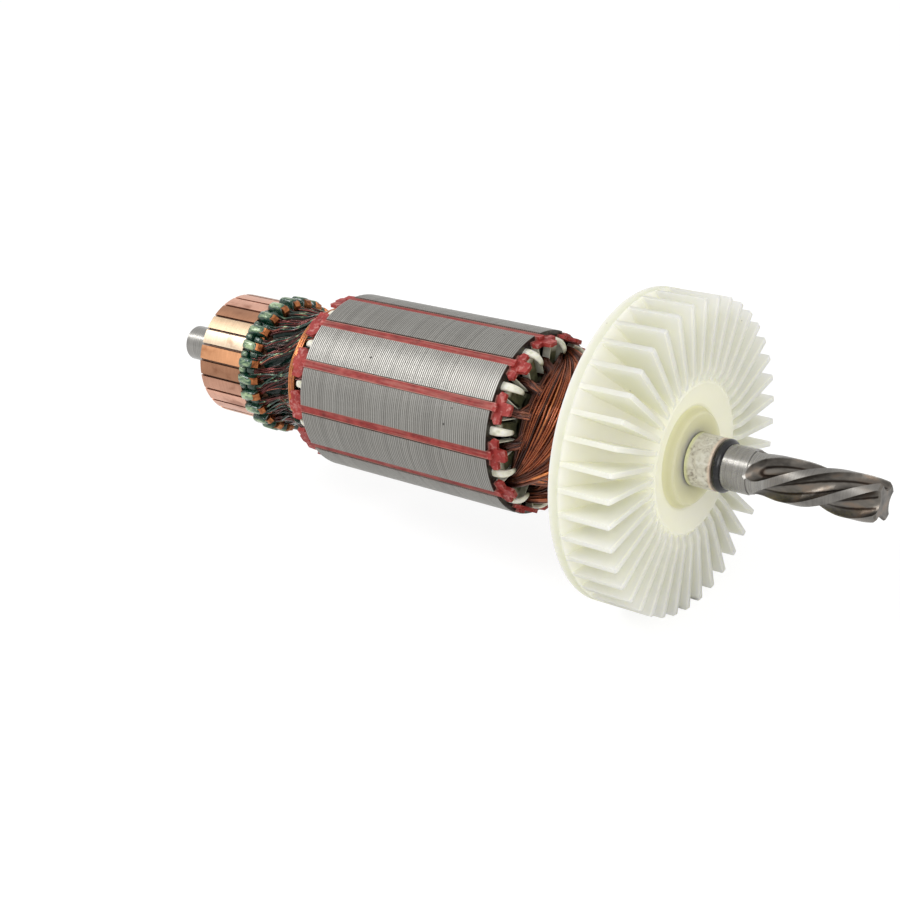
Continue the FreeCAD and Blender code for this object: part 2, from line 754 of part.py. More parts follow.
def lead_points(index):
    """From under a hook, round its side and over the bed to the mouth of a slot."""
    radius = d["lead_radius"].value
    hook_angle = d["bar_phase"].value + bar_angle.value * index
    beside = hook_angle - bar_angle.value / 2
    under = riser_radius.value + radius + d["fit_gap"].value
    slot = math.floor((hook_angle - d["lead_shift"].value) / slot_angle.value + 0.5)
    place = 1 if index % 2 else -1
    target = slot * slot_angle.value + place * d["lead_pair_angle"].value
    catch = (track_end + d["hook_tip"]).value + radius * 2
    points = [
        on_shaft(catch, under, hook_angle),
        on_shaft(catch + radius * 2, under, hook_angle + (beside - hook_angle) / 2),
        on_shaft(riser_end.value - radius, under, beside),
    ]
    first = bed_start.value + radius
    last = leads_end.value
    steps = 5
    for step in range(steps + 1):
        x = first + (last - first) * step / steps
        angle = beside + (target - beside) * (step + 0.6) / (steps + 0.6)
        points.append(on_shaft(x, lead_floor(x) + radius + d["lead_clearance"].value, angle))
    return points


def make_leads():
    leads = document.addObject("Part::Feature", "commutator_leads")
    leads.Label = "commutator_leads"
    radius = d["lead_radius"].value
    count = int(d["bar_count"].value)
    leads.Shape = Part.makeCompound([tube(lead_points(index), radius) for index in range(count)])
    return leads


# Fan: one moulding with a smooth rim, a conical web, forty radial blades and a hub

def make_fan():
    body = new_body("cooling_fan")
    back = -d["fan_back"]
    front = back + d["fan_width"]
    outer = d["fan_radius"]
    crown = d["fan_crown_radius"]
    rim = back + d["fan_rim_width"]
    crown_front = front - d["fan_crown_drop"]
    dish = d["fan_dish"]
    wall = d["fan_wall"]
    edge = d["fan_edge"]
    root = d["blade_root"]
    bore = d["sleeve_radius"]
    hub_back = back + d["fan_hub_recess"]
    revolve(body, "web", [
        (back, outer),
        (rim, outer),
        (crown_front, crown),
        (crown_front - dish, d["fan_hub_radius"] + d["fan_hub_flare"]),
        (front - edge, d["fan_hub_radius"]),
        (front, d["fan_hub_radius"] - edge),
        (front, bore),
        (hub_back, bore),
        (hub_back, bore + wall),
        (crown_front - dish - wall * 1.2, bore + wall + d["fan_hub_flare"]),
        (crown_front - wall * 1.3, crown - wall * 0.4),
        (back, outer - wall),
    ])
    blade = pad_across(body, "blade", [
        (rim - edge, outer),
        (front - edge, outer),
        (front, outer - edge),
        (front, crown + root * 2.5),
        (crown_front - edge, crown - root * 0.5),
        (crown_front - root * 1.5, crown),
        (rim - root, outer - edge * 2),
    ], d["blade_thickness"])
    pattern(body, "blades", [blade], d["blade_count"])
    turn(body, d["blade_phase"])
    return body


def build():
    """Every sub-part in the order in which the armature goes together."""
    pieces = [make_shaft(), make_sleeve(), make_core(), make_slot_liners()]
    pieces.append(make_end_insulator("end_insulator_fan_side", core_fan_end, 1, d["peg_fan_reach"]))
    pieces.append(make_end_insulator("end_insulator_lead_side", core_lead_end, -1, d["peg_lead_reach"]))
    slots = int(d["slot_count"].value)
    pieces += [make_coil(index) for index in range(slots)]
    pieces += [make_wedge(index) for index in range(slots)]
    pieces.append(make_commutator_hub())
    pieces += [make_bar(index) for index in range(int(d["bar_count"].value))]
    pieces += [make_lead_bed(), make_leads(), make_fan(), make_rubber_ring()]
    return pieces


def check(pieces):
    """Stop on a failed feature, or on a sub-part that is empty or invalid."""
    document.recompute()
    for item in document.Objects:
        if "Invalid" in item.State or "Error" in item.State:
            raise RuntimeError(f"{item.Label} failed: {item.State}")
    for piece in pieces:
        if piece.Shape.isNull() or not piece.Shape.isValid():
            raise RuntimeError(f"{piece.Label} has no valid shape")


def write(pieces):
    os.makedirs("parts", exist_ok=True)
    for piece in pieces:
        piece.Shape.exportStep(os.path.join("parts", piece.Label + ".step"))


parts = build()
check(parts)
write(parts)
for part in parts:
    print(f"{part.Label}: {len(part.Shape.Solids)} solids, {part.Shape.Volume:.1f} mm3")
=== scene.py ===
import json
import math
import random

import bpy
import numpy as np
from mathutils import Matrix, Vector


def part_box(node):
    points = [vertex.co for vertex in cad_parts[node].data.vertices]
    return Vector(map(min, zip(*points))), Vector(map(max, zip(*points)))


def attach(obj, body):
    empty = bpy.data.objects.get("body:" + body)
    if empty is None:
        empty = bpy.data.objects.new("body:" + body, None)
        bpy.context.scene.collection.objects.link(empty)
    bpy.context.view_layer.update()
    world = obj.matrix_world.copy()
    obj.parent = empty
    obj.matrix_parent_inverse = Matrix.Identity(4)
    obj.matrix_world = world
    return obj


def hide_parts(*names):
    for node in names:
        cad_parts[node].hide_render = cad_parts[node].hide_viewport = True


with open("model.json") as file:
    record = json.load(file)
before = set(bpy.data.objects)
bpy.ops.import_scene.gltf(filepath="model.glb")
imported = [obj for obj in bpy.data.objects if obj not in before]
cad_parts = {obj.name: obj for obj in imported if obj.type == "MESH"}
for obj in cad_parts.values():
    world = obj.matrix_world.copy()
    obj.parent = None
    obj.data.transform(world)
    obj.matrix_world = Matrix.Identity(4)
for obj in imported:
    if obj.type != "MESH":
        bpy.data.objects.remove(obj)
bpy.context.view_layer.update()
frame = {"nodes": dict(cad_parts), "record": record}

# Wound motor armature. Sizes here are in millimetres and scaled to metres when a mesh is made.
# Angles go round the shaft in degrees: zero is straight up and 90 points along -Y.

MM = 0.001
SLOTS = 12
BARS = 24
SLOT_STEP = 360.0 / SLOTS
BAR_STEP = 360.0 / BARS
FIRST_BAR = 10.1
COIL_PITCH = 5
HALF_SPAN = COIL_PITCH * SLOT_STEP / 2
TRACK_LENGTH = 14.4
RISER_LENGTH = 5.2
HOOK_HEIGHT = 1.65


def reach(name):
    """Outer radius of a CAD node about the shaft, in millimetres."""
    return max(math.hypot(v.co.y, v.co.z) for v in frame["nodes"][name].data.vertices) / MM


def span(name):
    """Lowest and highest place of a CAD node along the shaft, in millimetres."""
    low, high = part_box(name)
    return low.x / MM, high.x / MM


CORE_LOW, CORE_HIGH = span("core_laminations")
CORE_RADIUS = reach("core_laminations")
FAN_BACK, FAN_FRONT = span("cooling_fan")
FAN_RADIUS = reach("cooling_fan")
SLEEVE_RADIUS = reach("shaft_insulation")
BED_LOW, BED_HIGH = span("varnished_lead_bed")
BAR_LOW, HOOK_END = span("commutator_bar_01")
HOOK_TOP = reach("commutator_bar_01")
TRACK_RADIUS = HOOK_TOP - HOOK_HEIGHT
TRACK_END = BAR_LOW + TRACK_LENGTH
RISER_END = TRACK_END + RISER_LENGTH


def around(x, radius, angle):
    """A point by its place along the shaft, its radius and its angle from straight up."""
    turned = math.radians(angle)
    return Vector((x, -radius * math.sin(turned), radius * math.cos(turned)))


def beside(x, radius, offset, angle):
    """A point at a height over the shaft, offset to the side of the line at an angle."""
    return around(x, math.hypot(radius, offset), angle + math.degrees(math.atan2(offset, radius)))


def smooth(share):
    """Ease a share between 0 and 1 in and out."""
    return share * share * (3 - 2 * share)


# Materials

class Look:
    """A material being built: its Principled shader and the nodes that feed it."""

    def __init__(self, name, color, roughness, metallic=0.0):
        self.material = bpy.data.materials.new(name)
        self.material.use_nodes = True
        self.nodes = self.material.node_tree.nodes
        self.links = self.material.node_tree.links
        self.shader = self.nodes["Principled BSDF"]
        self.set("Base Color", (*color, 1.0))
        self.set("Roughness", roughness)
        self.set("Metallic", metallic)
        self.place = self.nodes.new("ShaderNodeTexCoord").outputs["Object"]

    def set(self, socket, value):
        self.shader.inputs[socket].default_value = value

    def put(self, node, socket, value):
        """Feed a socket with another node's output, or with a constant."""
        target = node.inputs[socket]
        if isinstance(value, bpy.types.NodeSocket):
            self.links.new(value, target)
        else:
            target.default_value = value

    def noise(self, size, detail=3.0, stretch=(1, 1, 1), distortion=0.0):
        """Noise whose blotches are about size millimetres wide."""
        scaled = self.nodes.new("ShaderNodeMapping")
        self.links.new(self.place, scaled.inputs["Vector"])
        scaled.inputs["Scale"].default_value = stretch
        node = self.nodes.new("ShaderNodeTexNoise")
        self.links.new(scaled.outputs["Vector"], node.inputs["Vector"])
        node.inputs["Scale"].default_value = 1 / (size * MM)
        node.inputs["Detail"].default_value = detail
        node.inputs["Distortion"].default_value = distortion
        return node.outputs["Fac"]

    def spots(self, size, inner, outer):
        """1 in small spots about size millimetres apart, which fade out between two shares of size."""
        node = self.nodes.new("ShaderNodeTexVoronoi")
        self.links.new(self.place, node.inputs["Vector"])
        node.inputs["Scale"].default_value = 1 / (size * MM)
        return self.flip(self.step(node.outputs["Distance"], inner, outer))

    def math(self, operation, a, b=0.0):
        node = self.nodes.new("ShaderNodeMath")
        node.operation = operation
        for socket, value in enumerate((a, b)):
            self.put(node, socket, value)
        return node.outputs[0]

    def times(self, a, b):
        return self.math("MULTIPLY", a, b)

    def flip(self, share):
        return self.math("SUBTRACT", 1.0, share)

    def axis(self, letter):
        node = self.nodes.new("ShaderNodeSeparateXYZ")
        self.links.new(self.place, node.inputs[0])
        return node.outputs[letter]

    def radius(self):
        """Distance from the shaft's axis, in metres."""
        y = self.axis("Y")
        z = self.axis("Z")
        return self.math("SQRT", self.math("ADD", self.times(y, y), self.times(z, z)))

    def step(self, value, low, high):
        """0 below low and 1 above high, both in the value's own unit."""
        node = self.nodes.new("ShaderNodeMapRange")
        node.clamp = True
        self.put(node, "Value", value)
        node.inputs["From Min"].default_value = low
        node.inputs["From Max"].default_value = high
        return node.outputs["Result"]

    def rise(self, place, low, high):
        """0 below low and 1 above high, for a place or a radius, with both in millimetres."""
        return self.step(place, low * MM, high * MM)

    def fall(self, place, low, high):
        """1 below low and 0 above high, for a place or a radius, with both in millimetres."""
        return self.flip(self.rise(place, low, high))

    def ramp(self, value, *stops):
        node = self.nodes.new("ShaderNodeValToRGB")
        elements = node.color_ramp.elements
        while len(elements) < len(stops):
            elements.new(0.5)
        for element, (place, color) in zip(elements, stops):
            element.position = place
            element.color = (*color, 1.0)
        self.links.new(value, node.inputs["Fac"])
        return node.outputs["Color"]

    def mix(self, share, first, second, blend="MIX"):
        node = self.nodes.new("ShaderNodeMix")
        node.data_type = "RGBA"
        node.blend_type = blend
        self.put(node, 0, share)
        for socket, value in ((6, first), (7, second)):
            if isinstance(value, tuple):
                value = (*value, 1.0)
            self.put(node, socket, value)
        return node.outputs[2]

    def attribute(self, name):
        node = self.nodes.new("ShaderNodeAttribute")
        node.attribute_name = name
        return node.outputs["Fac"]

    def color(self, output):
        self.links.new(output, self.shader.inputs["Base Color"])

    def rough(self, value, low, high):
        node = self.nodes.new("ShaderNodeMapRange")
        self.links.new(value, node.inputs["Value"])
        node.inputs["To Min"].default_value = low
        node.inputs["To Max"].default_value = high
        self.links.new(node.outputs["Result"], self.shader.inputs["Roughness"])

    def coat(self, weight, roughness):
        self.set("Coat Weight", weight)
        self.set("Coat Roughness", roughness)

    def translucent(self, weight, *depths):
        """Let red, green and blue light in as deep as these millimetres."""
        self.set("Subsurface Weight", weight)
        self.set("Subsurface Radius", [depth * MM for depth in depths])
        self.set("Subsurface Scale", 1.0)

    def bump(self, height, depth, strength=1.0):
        """Bump of a depth in millimetres; calls add up."""
        node = self.nodes.new("ShaderNodeBump")
        node.inputs["Strength"].default_value = strength
        node.inputs["Distance"].default_value = depth * MM
        self.links.new(height, node.inputs["Height"])
        normal = self.shader.inputs["Normal"]
        if normal.is_linked:
            self.links.new(normal.links[0].from_socket, node.inputs["Normal"])
        self.links.new(node.outputs["Normal"], normal)


# Places along the shaft, or radii, between which a tone gives way to the next one
FLUTES_FROM = (1.7, 2.5)
PINION_FROM = (6.6, 9.1)
PINION_END = (31.0, 31.3)
FLUTE_DEPTHS = (2.4, 4.8)
CREST_RADII = (4.55, 4.76)
SLEEVE_FOOT = (-10.8, -9.9)
SLEEVE_RIM = (-5.65, -5.25)
ARM_SHADE_END = 16.6
ARM_TOP = 18.0
FAN_HUB_EDGE = (10.8, 12.0)
FAN_CROWN_EDGE = (16.2, 18.0)

# Distances from the fan's back between which its smooth band gives way to the blades
FAN_BAND = (2.2, 2.5)

# Angles from a slot's middle between which its strip turns pale at its edges
STRIP_EDGE = (1.9, 2.5)


def steel_look():
    """Ground seats with fine turning lines, and dark oily flutes with rust tints and a painted shade line at
    their root.
    """
    look = Look("ground_steel", (0.40, 0.39, 0.37), 0.28, 1.0)
    turning = look.noise(0.22, 2.0, stretch=(1.0, 0.03, 0.03))
    blotches = look.noise(3.0, 4.0)
    rust = look.noise(2.2, 5.0, stretch=(0.35, 1, 1))
    bright = look.mix(look.step(turning, 0.3, 0.7), (0.23, 0.223, 0.208), (0.325, 0.314, 0.295))
    oily = look.ramp(rust, (0.3, (0.080, 0.073, 0.066)), (0.52, (0.165, 0.150, 0.132)),
                     (0.66, (0.210, 0.162, 0.126)), (0.78, (0.28, 0.262, 0.235)))
    # Painted shade: a dark band at one radius, in the crease at the flutes' root
    painted_root_shade = look.ramp(look.rise(look.radius(), *FLUTE_DEPTHS),
                      (0.0, (1.0, 1.0, 1.0)), (0.12, (0.9, 0.9, 0.9)), (0.19, (0.14, 0.12, 0.11)),
                      (0.26, (0.14, 0.12, 0.11)), (0.36, (0.66, 0.66, 0.66)), (1.0, (0.72, 0.72, 0.72)))
    x = look.axis("X")
    dark = look.mix(look.fall(x, *PINION_END), oily, painted_root_shade, "MULTIPLY")
    flute = look.times(look.rise(x, *FLUTES_FROM), look.fall(look.radius(), *CREST_RADII))
    crest = look.times(look.rise(x, *PINION_FROM), 0.55)
    share = look.math("MAXIMUM", flute, crest)
    look.color(look.mix(share, bright, dark))
    look.rough(look.math("ADD", look.times(blotches, 0.5), look.times(share, 0.35)), 0.18, 0.52)
    look.bump(turning, 0.005)
    look.bump(rust, 0.03, 0.5)
    return look.material


def sleeve_look():
    """Marbled off-white resin with dark specks, greenish at its foot and stained at its rim."""
    look = Look("sleeve_insulation", (0.74, 0.73, 0.68), 0.42)
    cloud = look.noise(1.6, 6.0, distortion=1.2)
    veins = look.noise(0.9, 5.0, stretch=(1, 0.6, 0.6), distortion=2.0)
    base = look.ramp(cloud, (0.30, (0.28, 0.25, 0.21)), (0.42, (0.53, 0.50, 0.43)),
                     (0.55, (0.62, 0.60, 0.53)), (0.75, (0.73, 0.71, 0.66)))
    specks = look.times(look.step(veins, 0.64, 0.70), 0.6)
    speckled = look.mix(specks, base, (0.09, 0.08, 0.07))
    x = look.axis("X")
    foot = look.times(look.fall(x, *SLEEVE_FOOT), 0.7)
    tinted = look.mix(foot, speckled, (0.72, 0.74, 0.36))
    stain = look.times(look.rise(x, *SLEEVE_RIM), 0.5)
    look.color(look.mix(stain, tinted, (0.80, 0.58, 0.44)))
    look.coat(0.35, 0.15)
    look.translucent(0.12, 1.2, 1.0, 0.8)
    look.bump(veins, 0.12)
    look.bump(cloud, 0.2, 0.6)
    return look.material


def lamination_look():
    """Edges of thin sheets with dark joints between them; fine scratches run along the stack."""
    look = Look("stack_steel", (0.20, 0.198, 0.19), 0.40, 0.9)
    scratches = look.noise(0.5, 3.0, stretch=(0.12, 1, 1))
    cloud = look.noise(9.0, 3.0)
    base = look.ramp(look.attribute("shade"), (0.0, (0.035, 0.033, 0.031)),
                     (0.5, (0.22, 0.216, 0.203)), (1.0, (0.385, 0.378, 0.354)))
    clouded = look.mix(look.times(cloud, 0.3), base, (0.20, 0.178, 0.15))
    scratch = look.times(look.step(scratches, 0.5, 0.8), 0.3)
    scratched = look.mix(scratch, clouded, (0.32, 0.315, 0.295))
    pits = look.times(look.spots(8.0, 0.03, 0.05), 0.85)
    look.color(look.mix(pits, scratched, (0.02, 0.018, 0.016)))
    look.rough(scratches, 0.34, 0.48)
    look.bump(scratches, 0.012, 0.6)
    return look.material


def fibre_look():
    """Red pressed fibre: streaked strips with pale edges, darkened inside the slot mouths as painted shade,
    and heads beyond the core that are worn.
    """
    look = Look("red_fibre", (0.36, 0.04, 0.035), 0.55)
    felt = look.noise(0.35, 4.0, stretch=(0.5, 1, 1))
    patches = look.noise(2.4, 3.0)
    streaks = look.noise(0.6, 3.0, stretch=(0.06, 1, 1))
    base = look.ramp(patches, (0.25, (0.17, 0.013, 0.012)), (0.5, (0.33, 0.032, 0.027)),
                     (0.78, (0.47, 0.075, 0.062)))
    streak = look.times(look.step(streaks, 0.46, 0.68), 0.5)
    streaked = look.mix(streak, base, (0.52, 0.20, 0.16))
    # The strip turns pale in a thin line along each edge
    turn = look.math("ARCTAN2", look.axis("Y"), look.axis("Z"))
    from_middle = look.math("PINGPONG", turn, math.radians(SLOT_STEP / 2))
    low, high = (math.radians(angle) for angle in STRIP_EDGE)
    pale_edged = look.mix(look.times(look.step(from_middle, low, high), 0.6), streaked, (0.76, 0.46, 0.38))
    # Painted shade: the strip inside the slot mouth is darkened by 28 %, the heads beyond the core are not
    strip_with_painted_shade = look.mix(0.28, pale_edged, (0.02, 0.004, 0.004))
    x = look.axis("X")
    low_end = look.fall(x, CORE_LOW - 0.6, CORE_LOW + 0.2)
    high_end = look.rise(x, CORE_HIGH - 0.2, CORE_HIGH + 0.6)
    ends = look.math("MAXIMUM", low_end, high_end)
    headed = look.mix(ends, strip_with_painted_shade, look.mix(0.35, base, (0.24, 0.02, 0.018)))
    wear = look.step(look.noise(1.1, 4.0, distortion=0.6), 0.52, 0.66)
    worn = look.times(look.times(wear, ends), 0.35)
    look.color(look.mix(worn, headed, (0.74, 0.40, 0.36)))
    look.set("Specular IOR Level", 0.3)
    look.bump(felt, 0.09)
    look.bump(look.noise(0.9, 3.0), 0.25, 0.6)
    return look.material


def paper_look():
    """Off-white slot paper with faint stains."""
    look = Look("slot_paper", (0.66, 0.67, 0.60), 0.7)
    fibres = look.noise(0.3, 4.0)
    stain = look.noise(2.0, 3.0)
    look.color(look.ramp(stain, (0.3, (0.48, 0.50, 0.40)), (0.6, (0.74, 0.74, 0.67))))
    look.bump(fibres, 0.04)
    return look.material


def end_plate_look():
    """Ivory moulding, pale at its pegs; its roots below the pegs get a dark olive, painted shade over a
    greenish tone.
    """
    look = Look("ivory_end_plate", (0.68, 0.68, 0.54), 0.45)
    stain = look.noise(1.4, 4.0)
    pale = look.ramp(stain, (0.30, (0.56, 0.56, 0.42)), (0.46, (0.76, 0.75, 0.64)),
                     (0.7, (0.84, 0.83, 0.76)))
    # Painted shade: a dark olive on the arms below the pegs, where the coils shade them
    olive_painted_shade = look.ramp(stain, (0.30, (0.045, 0.045, 0.022)), (0.7, (0.14, 0.14, 0.08)))
    look.color(look.mix(look.rise(look.radius(), ARM_SHADE_END, ARM_TOP), olive_painted_shade, pale))
    look.translucent(0.25, 1.0, 1.0, 0.6)
    look.bump(look.noise(0.6, 3.0), 0.05)
    return look.material


def wire_look(name, dark, middle, light, roughness, coat):
    """Enamelled copper; each wire has its own tone, and the pale top of the tone ramp is a painted highlight
    colour.
    """
    look = Look(name, middle, roughness, 0.7)
    stain = look.noise(1.4, 3.0)
    base = look.ramp(look.attribute("shade"), (0.0, dark), (0.55, middle), (0.85, middle), (1.0, light))
    look.color(look.mix(look.times(look.step(stain, 0.5, 0.8), 0.6), base, dark))
    look.coat(coat, 0.08)
    look.bump(look.noise(0.5, 2.0), 0.03)
    return look.material


def moulding_look():
    """Brown moulding of the commutator, dusty in places."""
    look = Look("commutator_moulding", (0.10, 0.05, 0.03), 0.6)
    dust = look.noise(0.8, 4.0)
    look.color(look.ramp(dust, (0.35, (0.055, 0.026, 0.016)), (0.75, (0.24, 0.12, 0.065))))
    look.bump(dust, 0.05)
    return look.material


def bar_look(name, tone):
    """Turned copper, brushed round the barrel and tarnished in smears, with a darker orange hook."""
    look = Look(name, tone, 0.3, 1.0)
    turning = look.noise(0.25, 2.0, stretch=(1.0, 0.05, 0.05))
    smear = look.noise(4.0, 4.0, stretch=(0.6, 1, 1))
    oxide = look.noise(1.2, 5.0)
    pale = tuple(min(1.0, value * 1.2) for value in tone)
    dull = (tone[0] * 0.6, tone[1] * 0.48, tone[2] * 0.42)
    base = look.ramp(smear, (0.30, dull), (0.44, tone), (0.72, pale))
    lined = look.mix(look.times(look.step(turning, 0.4, 0.65), 0.25), base, dull)
    orange = look.ramp(oxide, (0.3, (0.10, 0.030, 0.013)), (0.55, (0.38, 0.135, 0.05)),
                       (0.8, (0.56, 0.27, 0.12)))
    hook = look.rise(look.axis("X"), TRACK_END + 0.1, TRACK_END + 0.6)
    look.color(look.mix(hook, lined, orange))
    look.rough(smear, 0.30, 0.44)
    look.bump(turning, 0.012)
    look.bump(oxide, 0.03, 0.4)
    return look.material


def varnish_look(name, dark, light, fog_low, fog_high, coat):
    """Thick green varnish, wet looking; its shade attribute paints light: lighter on ridges and crests,
    darker in valleys, with milky patches on crests that are partly milky varnish and partly painted
    highlight.
    """
    look = Look(name, dark, 0.10)
    cloud = look.noise(0.8, 2.5, stretch=(0.4, 1, 1), distortion=0.8)
    # Painted light: the shade attribute lifts the tone on ridges and crests and brings milky patches there
    painted_light_share = look.attribute("shade")
    cover = look.math("ADD", painted_light_share, look.times(look.math("SUBTRACT", cloud, 0.5), 1.6))
    milk_and_painted_highlight = look.step(cover, fog_low, fog_high)
    painted_lit_tone = tuple(value * 2.6 for value in dark)
    look.color(look.mix(milk_and_painted_highlight, look.mix(painted_light_share, dark, painted_lit_tone), light))
    look.rough(cloud, 0.05, 0.22)
    look.coat(coat, 0.04)
    look.set("Specular IOR Level", 0.24)
    look.bump(look.noise(0.9, 3.0, stretch=(0.6, 1, 1)), 0.30)
    look.bump(cloud, 0.15, 0.7)
    return look.material


def nylon_look():
    """Pale ivory nylon that lets much light through, so that its blades cast next to no shade; its front is
    lighter as painted light and the back band of its rim darker as painted shade.
    """
    look = Look("ivory_nylon", (0.80, 0.815, 0.66), 0.5)
    cloud = look.noise(14.0, 3.0)
    base = look.ramp(cloud, (0.3, (0.79, 0.790, 0.590)), (0.7, (0.81, 0.805, 0.640)))
    x = look.axis("X")
    front = look.rise(x, FAN_FRONT - 0.5, FAN_FRONT - 0.1)
    # Painted light: the front 0.5 mm, blade edges and face, gets a lighter, yellower tone
    front_painted_light = look.mix(front, base, (0.97, 0.945, 0.64))
    radius = look.radius()
    rim = look.rise(radius, FAN_RADIUS - 0.5, FAN_RADIUS - 0.1)
    band = look.fall(x, FAN_BACK + FAN_BAND[0], FAN_BACK + FAN_BAND[1])
    # Painted shade: the smooth back band of the rim is darkened
    rim_painted_shade = look.mix(look.times(rim, band), front_painted_light, (0.56, 0.575, 0.44))
    ringed = look.mix(look.fall(radius, *FAN_CROWN_EDGE), rim_painted_shade, (0.76, 0.745, 0.55))
    centred = look.mix(look.fall(radius, *FAN_HUB_EDGE), ringed, (0.52, 0.50, 0.325))
    dirt = look.times(look.spots(9.0, 0.012, 0.03), 0.8)
    look.color(look.mix(dirt, centred, (0.16, 0.15, 0.10)))
    look.rough(look.noise(3.0, 3.0), 0.5, 0.65)
    look.set("Specular IOR Level", 0.2)
    look.translucent(1.0, 20.0, 20.0, 13.0)
    look.bump(look.noise(1.5, 3.0), 0.03)
    return look.material


def rubber_look():
    """Black rubber with a few greyish smears."""
    look = Look("black_rubber", (0.012, 0.012, 0.013), 0.2)
    smear = look.noise(1.4, 4.0)
    look.color(look.ramp(smear, (0.5, (0.008, 0.008, 0.009)), (0.85, (0.03, 0.029, 0.028))))
    look.rough(smear, 0.12, 0.3)
    look.set("Specular IOR Level", 0.35)
    look.bump(smear, 0.012)
    return look.material


LOOKS = {
    "ground_steel": steel_look(),
    "sleeve_insulation": sleeve_look(),
    "stack_steel": lamination_look(),
    "slot_paper": paper_look(),
    "ivory_end_plate": end_plate_look(),
    "enamelled_copper": wire_look(
        "enamelled_copper", (0.030, 0.009, 0.007), (0.39, 0.103, 0.036), (0.85, 0.30, 0.085), 0.26, 0.4),
    "red_fibre": fibre_look(),
    "commutator_moulding": moulding_look(),
    "green_varnish": varnish_look(
        "green_varnish", (0.002, 0.011, 0.008), (0.16, 0.25, 0.19), 0.80, 1.15, 0.08),
    "milky_varnish_painted_glints": varnish_look(
        "milky_varnish_painted_glints", (0.004, 0.026, 0.015), (0.35, 0.46, 0.25), 0.46, 1.04, 0.6),
    "varnished_wire": wire_look(
        "varnished_wire", (0.003, 0.014, 0.010), (0.12, 0.022, 0.020), (0.46, 0.15, 0.10), 0.16, 0.10),
    "bright_wire": wire_look(
        "bright_wire", (0.22, 0.06, 0.022), (0.52, 0.17, 0.05), (0.80, 0.33, 0.11), 0.22, 0.4),
    "ivory_nylon": nylon_look(),
    "black_rubber": rubber_look(),
}

# Copper tones of the bars; cream and straw are pale tones on the bars under the key lamp's highlight, a
# painted highlight over the copper
COPPER_TONES = {
    "pink": (0.66, 0.37, 0.27),
    "cream_painted_highlight": (0.56, 0.45, 0.33),
    "straw_painted_highlight": (0.345, 0.255, 0.170),
    "orange": (0.66, 0.33, 0.17),
    "rose": (0.48, 0.26, 0.18),
    "bronze": (0.34, 0.17, 0.10),
}
BAR_LOOKS = {tone: bar_look("copper_" + tone, value) for tone, value in COPPER_TONES.items()}
BAR_ORDER = ["pink", "bronze", "straw_painted_highlight", "cream_painted_highlight", "orange", "bronze",
             "rose", "pink", "pink", "orange", "bronze", "pink"]


# Mesh helpers

ANY_PHASE = 6.28
WIRE_START_SIDE = (0.31, 0.52, 0.79)


def add_mesh(name, points, faces, look, shades=None):
    """Make a smooth mesh from millimetre points, with its look and its body."""
    mesh = bpy.data.meshes.new(name)
    mesh.from_pydata([Vector(point) * MM for point in points], [], faces)
    mesh.validate()
    mesh.update()
    mesh.shade_smooth()
    if shades is not None:
        layer = mesh.attributes.new("shade", "FLOAT", "POINT")
        layer.data.foreach_set("value", np.asarray(shades, np.float32))
    piece = bpy.data.objects.new(name, mesh)
    bpy.context.scene.collection.objects.link(piece)
    mesh.materials.append(LOOKS[look])
    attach(piece, "root")
    return piece


def split_edges(piece, angle):
    """Keep edges sharper than an angle in degrees crisp."""
    modifier = piece.modifiers.new("edges", "EDGE_SPLIT")
    modifier.split_angle = math.radians(angle)


def join(points, faces, more_points, more_faces):
    """Add another mesh's points and faces to a mesh."""
    base = len(points)
    points += more_points
    faces += [[corner + base for corner in face] for face in more_faces]


def rod_faces(rings, width):
    """Faces between successive closed rings of points, with both ends closed."""
    faces = []
    for ring in range(rings - 1):
        first = ring * width
        for corner in range(width):
            following = (corner + 1) % width
            faces.append((first + corner, first + following,
                          first + width + following, first + width + corner))
    faces.append(list(reversed(range(width))))
    faces.append([(rings - 1) * width + corner for corner in range(width)])
    return faces


def ring_faces(rows, columns):
    """Faces of a grid whose rows go all the way round the shaft."""
    faces = []
    for row in range(rows):
        following = (row + 1) % rows
        for column in range(columns - 1):
            faces.append((row * columns + column, row * columns + column + 1,
                          following * columns + column + 1, following * columns + column))
    return faces


def torus_faces(rows, columns):
    """Faces of a grid whose rows go round the shaft and whose columns go round its section."""
    faces = []
    for row in range(rows):
        following = (row + 1) % rows
        for column in range(columns):
            after = (column + 1) % columns
            faces.append((row * columns + column, row * columns + after,
                          following * columns + after, following * columns + column))
    return faces


def close_ends(points, faces, shades, angles, xs, shade):
    """Close both ends of a ring_faces grid with flat faces down to the sleeve."""
    rows = len(angles)
    columns = len(xs)
    for column in (0, columns - 1):
        start = len(points)
        points += [around(xs[column], SLEEVE_RADIUS, angle) for angle in angles]
        shades += [shade] * rows
        for row in range(rows):
            following = (row + 1) % rows
            face = (row * columns + column, following * columns + column, start + following, start + row)
            faces.append(face if column else tuple(reversed(face)))


def tubes(paths, radius, sides):
    """Round wires along paths, as one set of points and faces, with one tone for each wire."""
    points = []
    faces = []
    shades = []
    for path, tone in paths:
        line = np.asarray(path, float)
        along = np.gradient(line, axis=0)
        along /= np.linalg.norm(along, axis=1)[:, None]
        side = np.cross(along[0], WIRE_START_SIDE)
        wire = []
        for place, direction in zip(line, along):
            side = side - direction * side.dot(direction)
            side /= np.linalg.norm(side)
            other = np.cross(direction, side)
            for corner in range(sides):
                turn = 2 * math.pi * corner / sides
                wire.append(place + radius * (math.cos(turn) * side + math.sin(turn) * other))
        join(points, faces, wire, rod_faces(len(line), sides))
        shades += [tone] * len(wire)
    return points, faces, shades


# Core: a stack of sheets with a groove between each two

SHEETS = 100

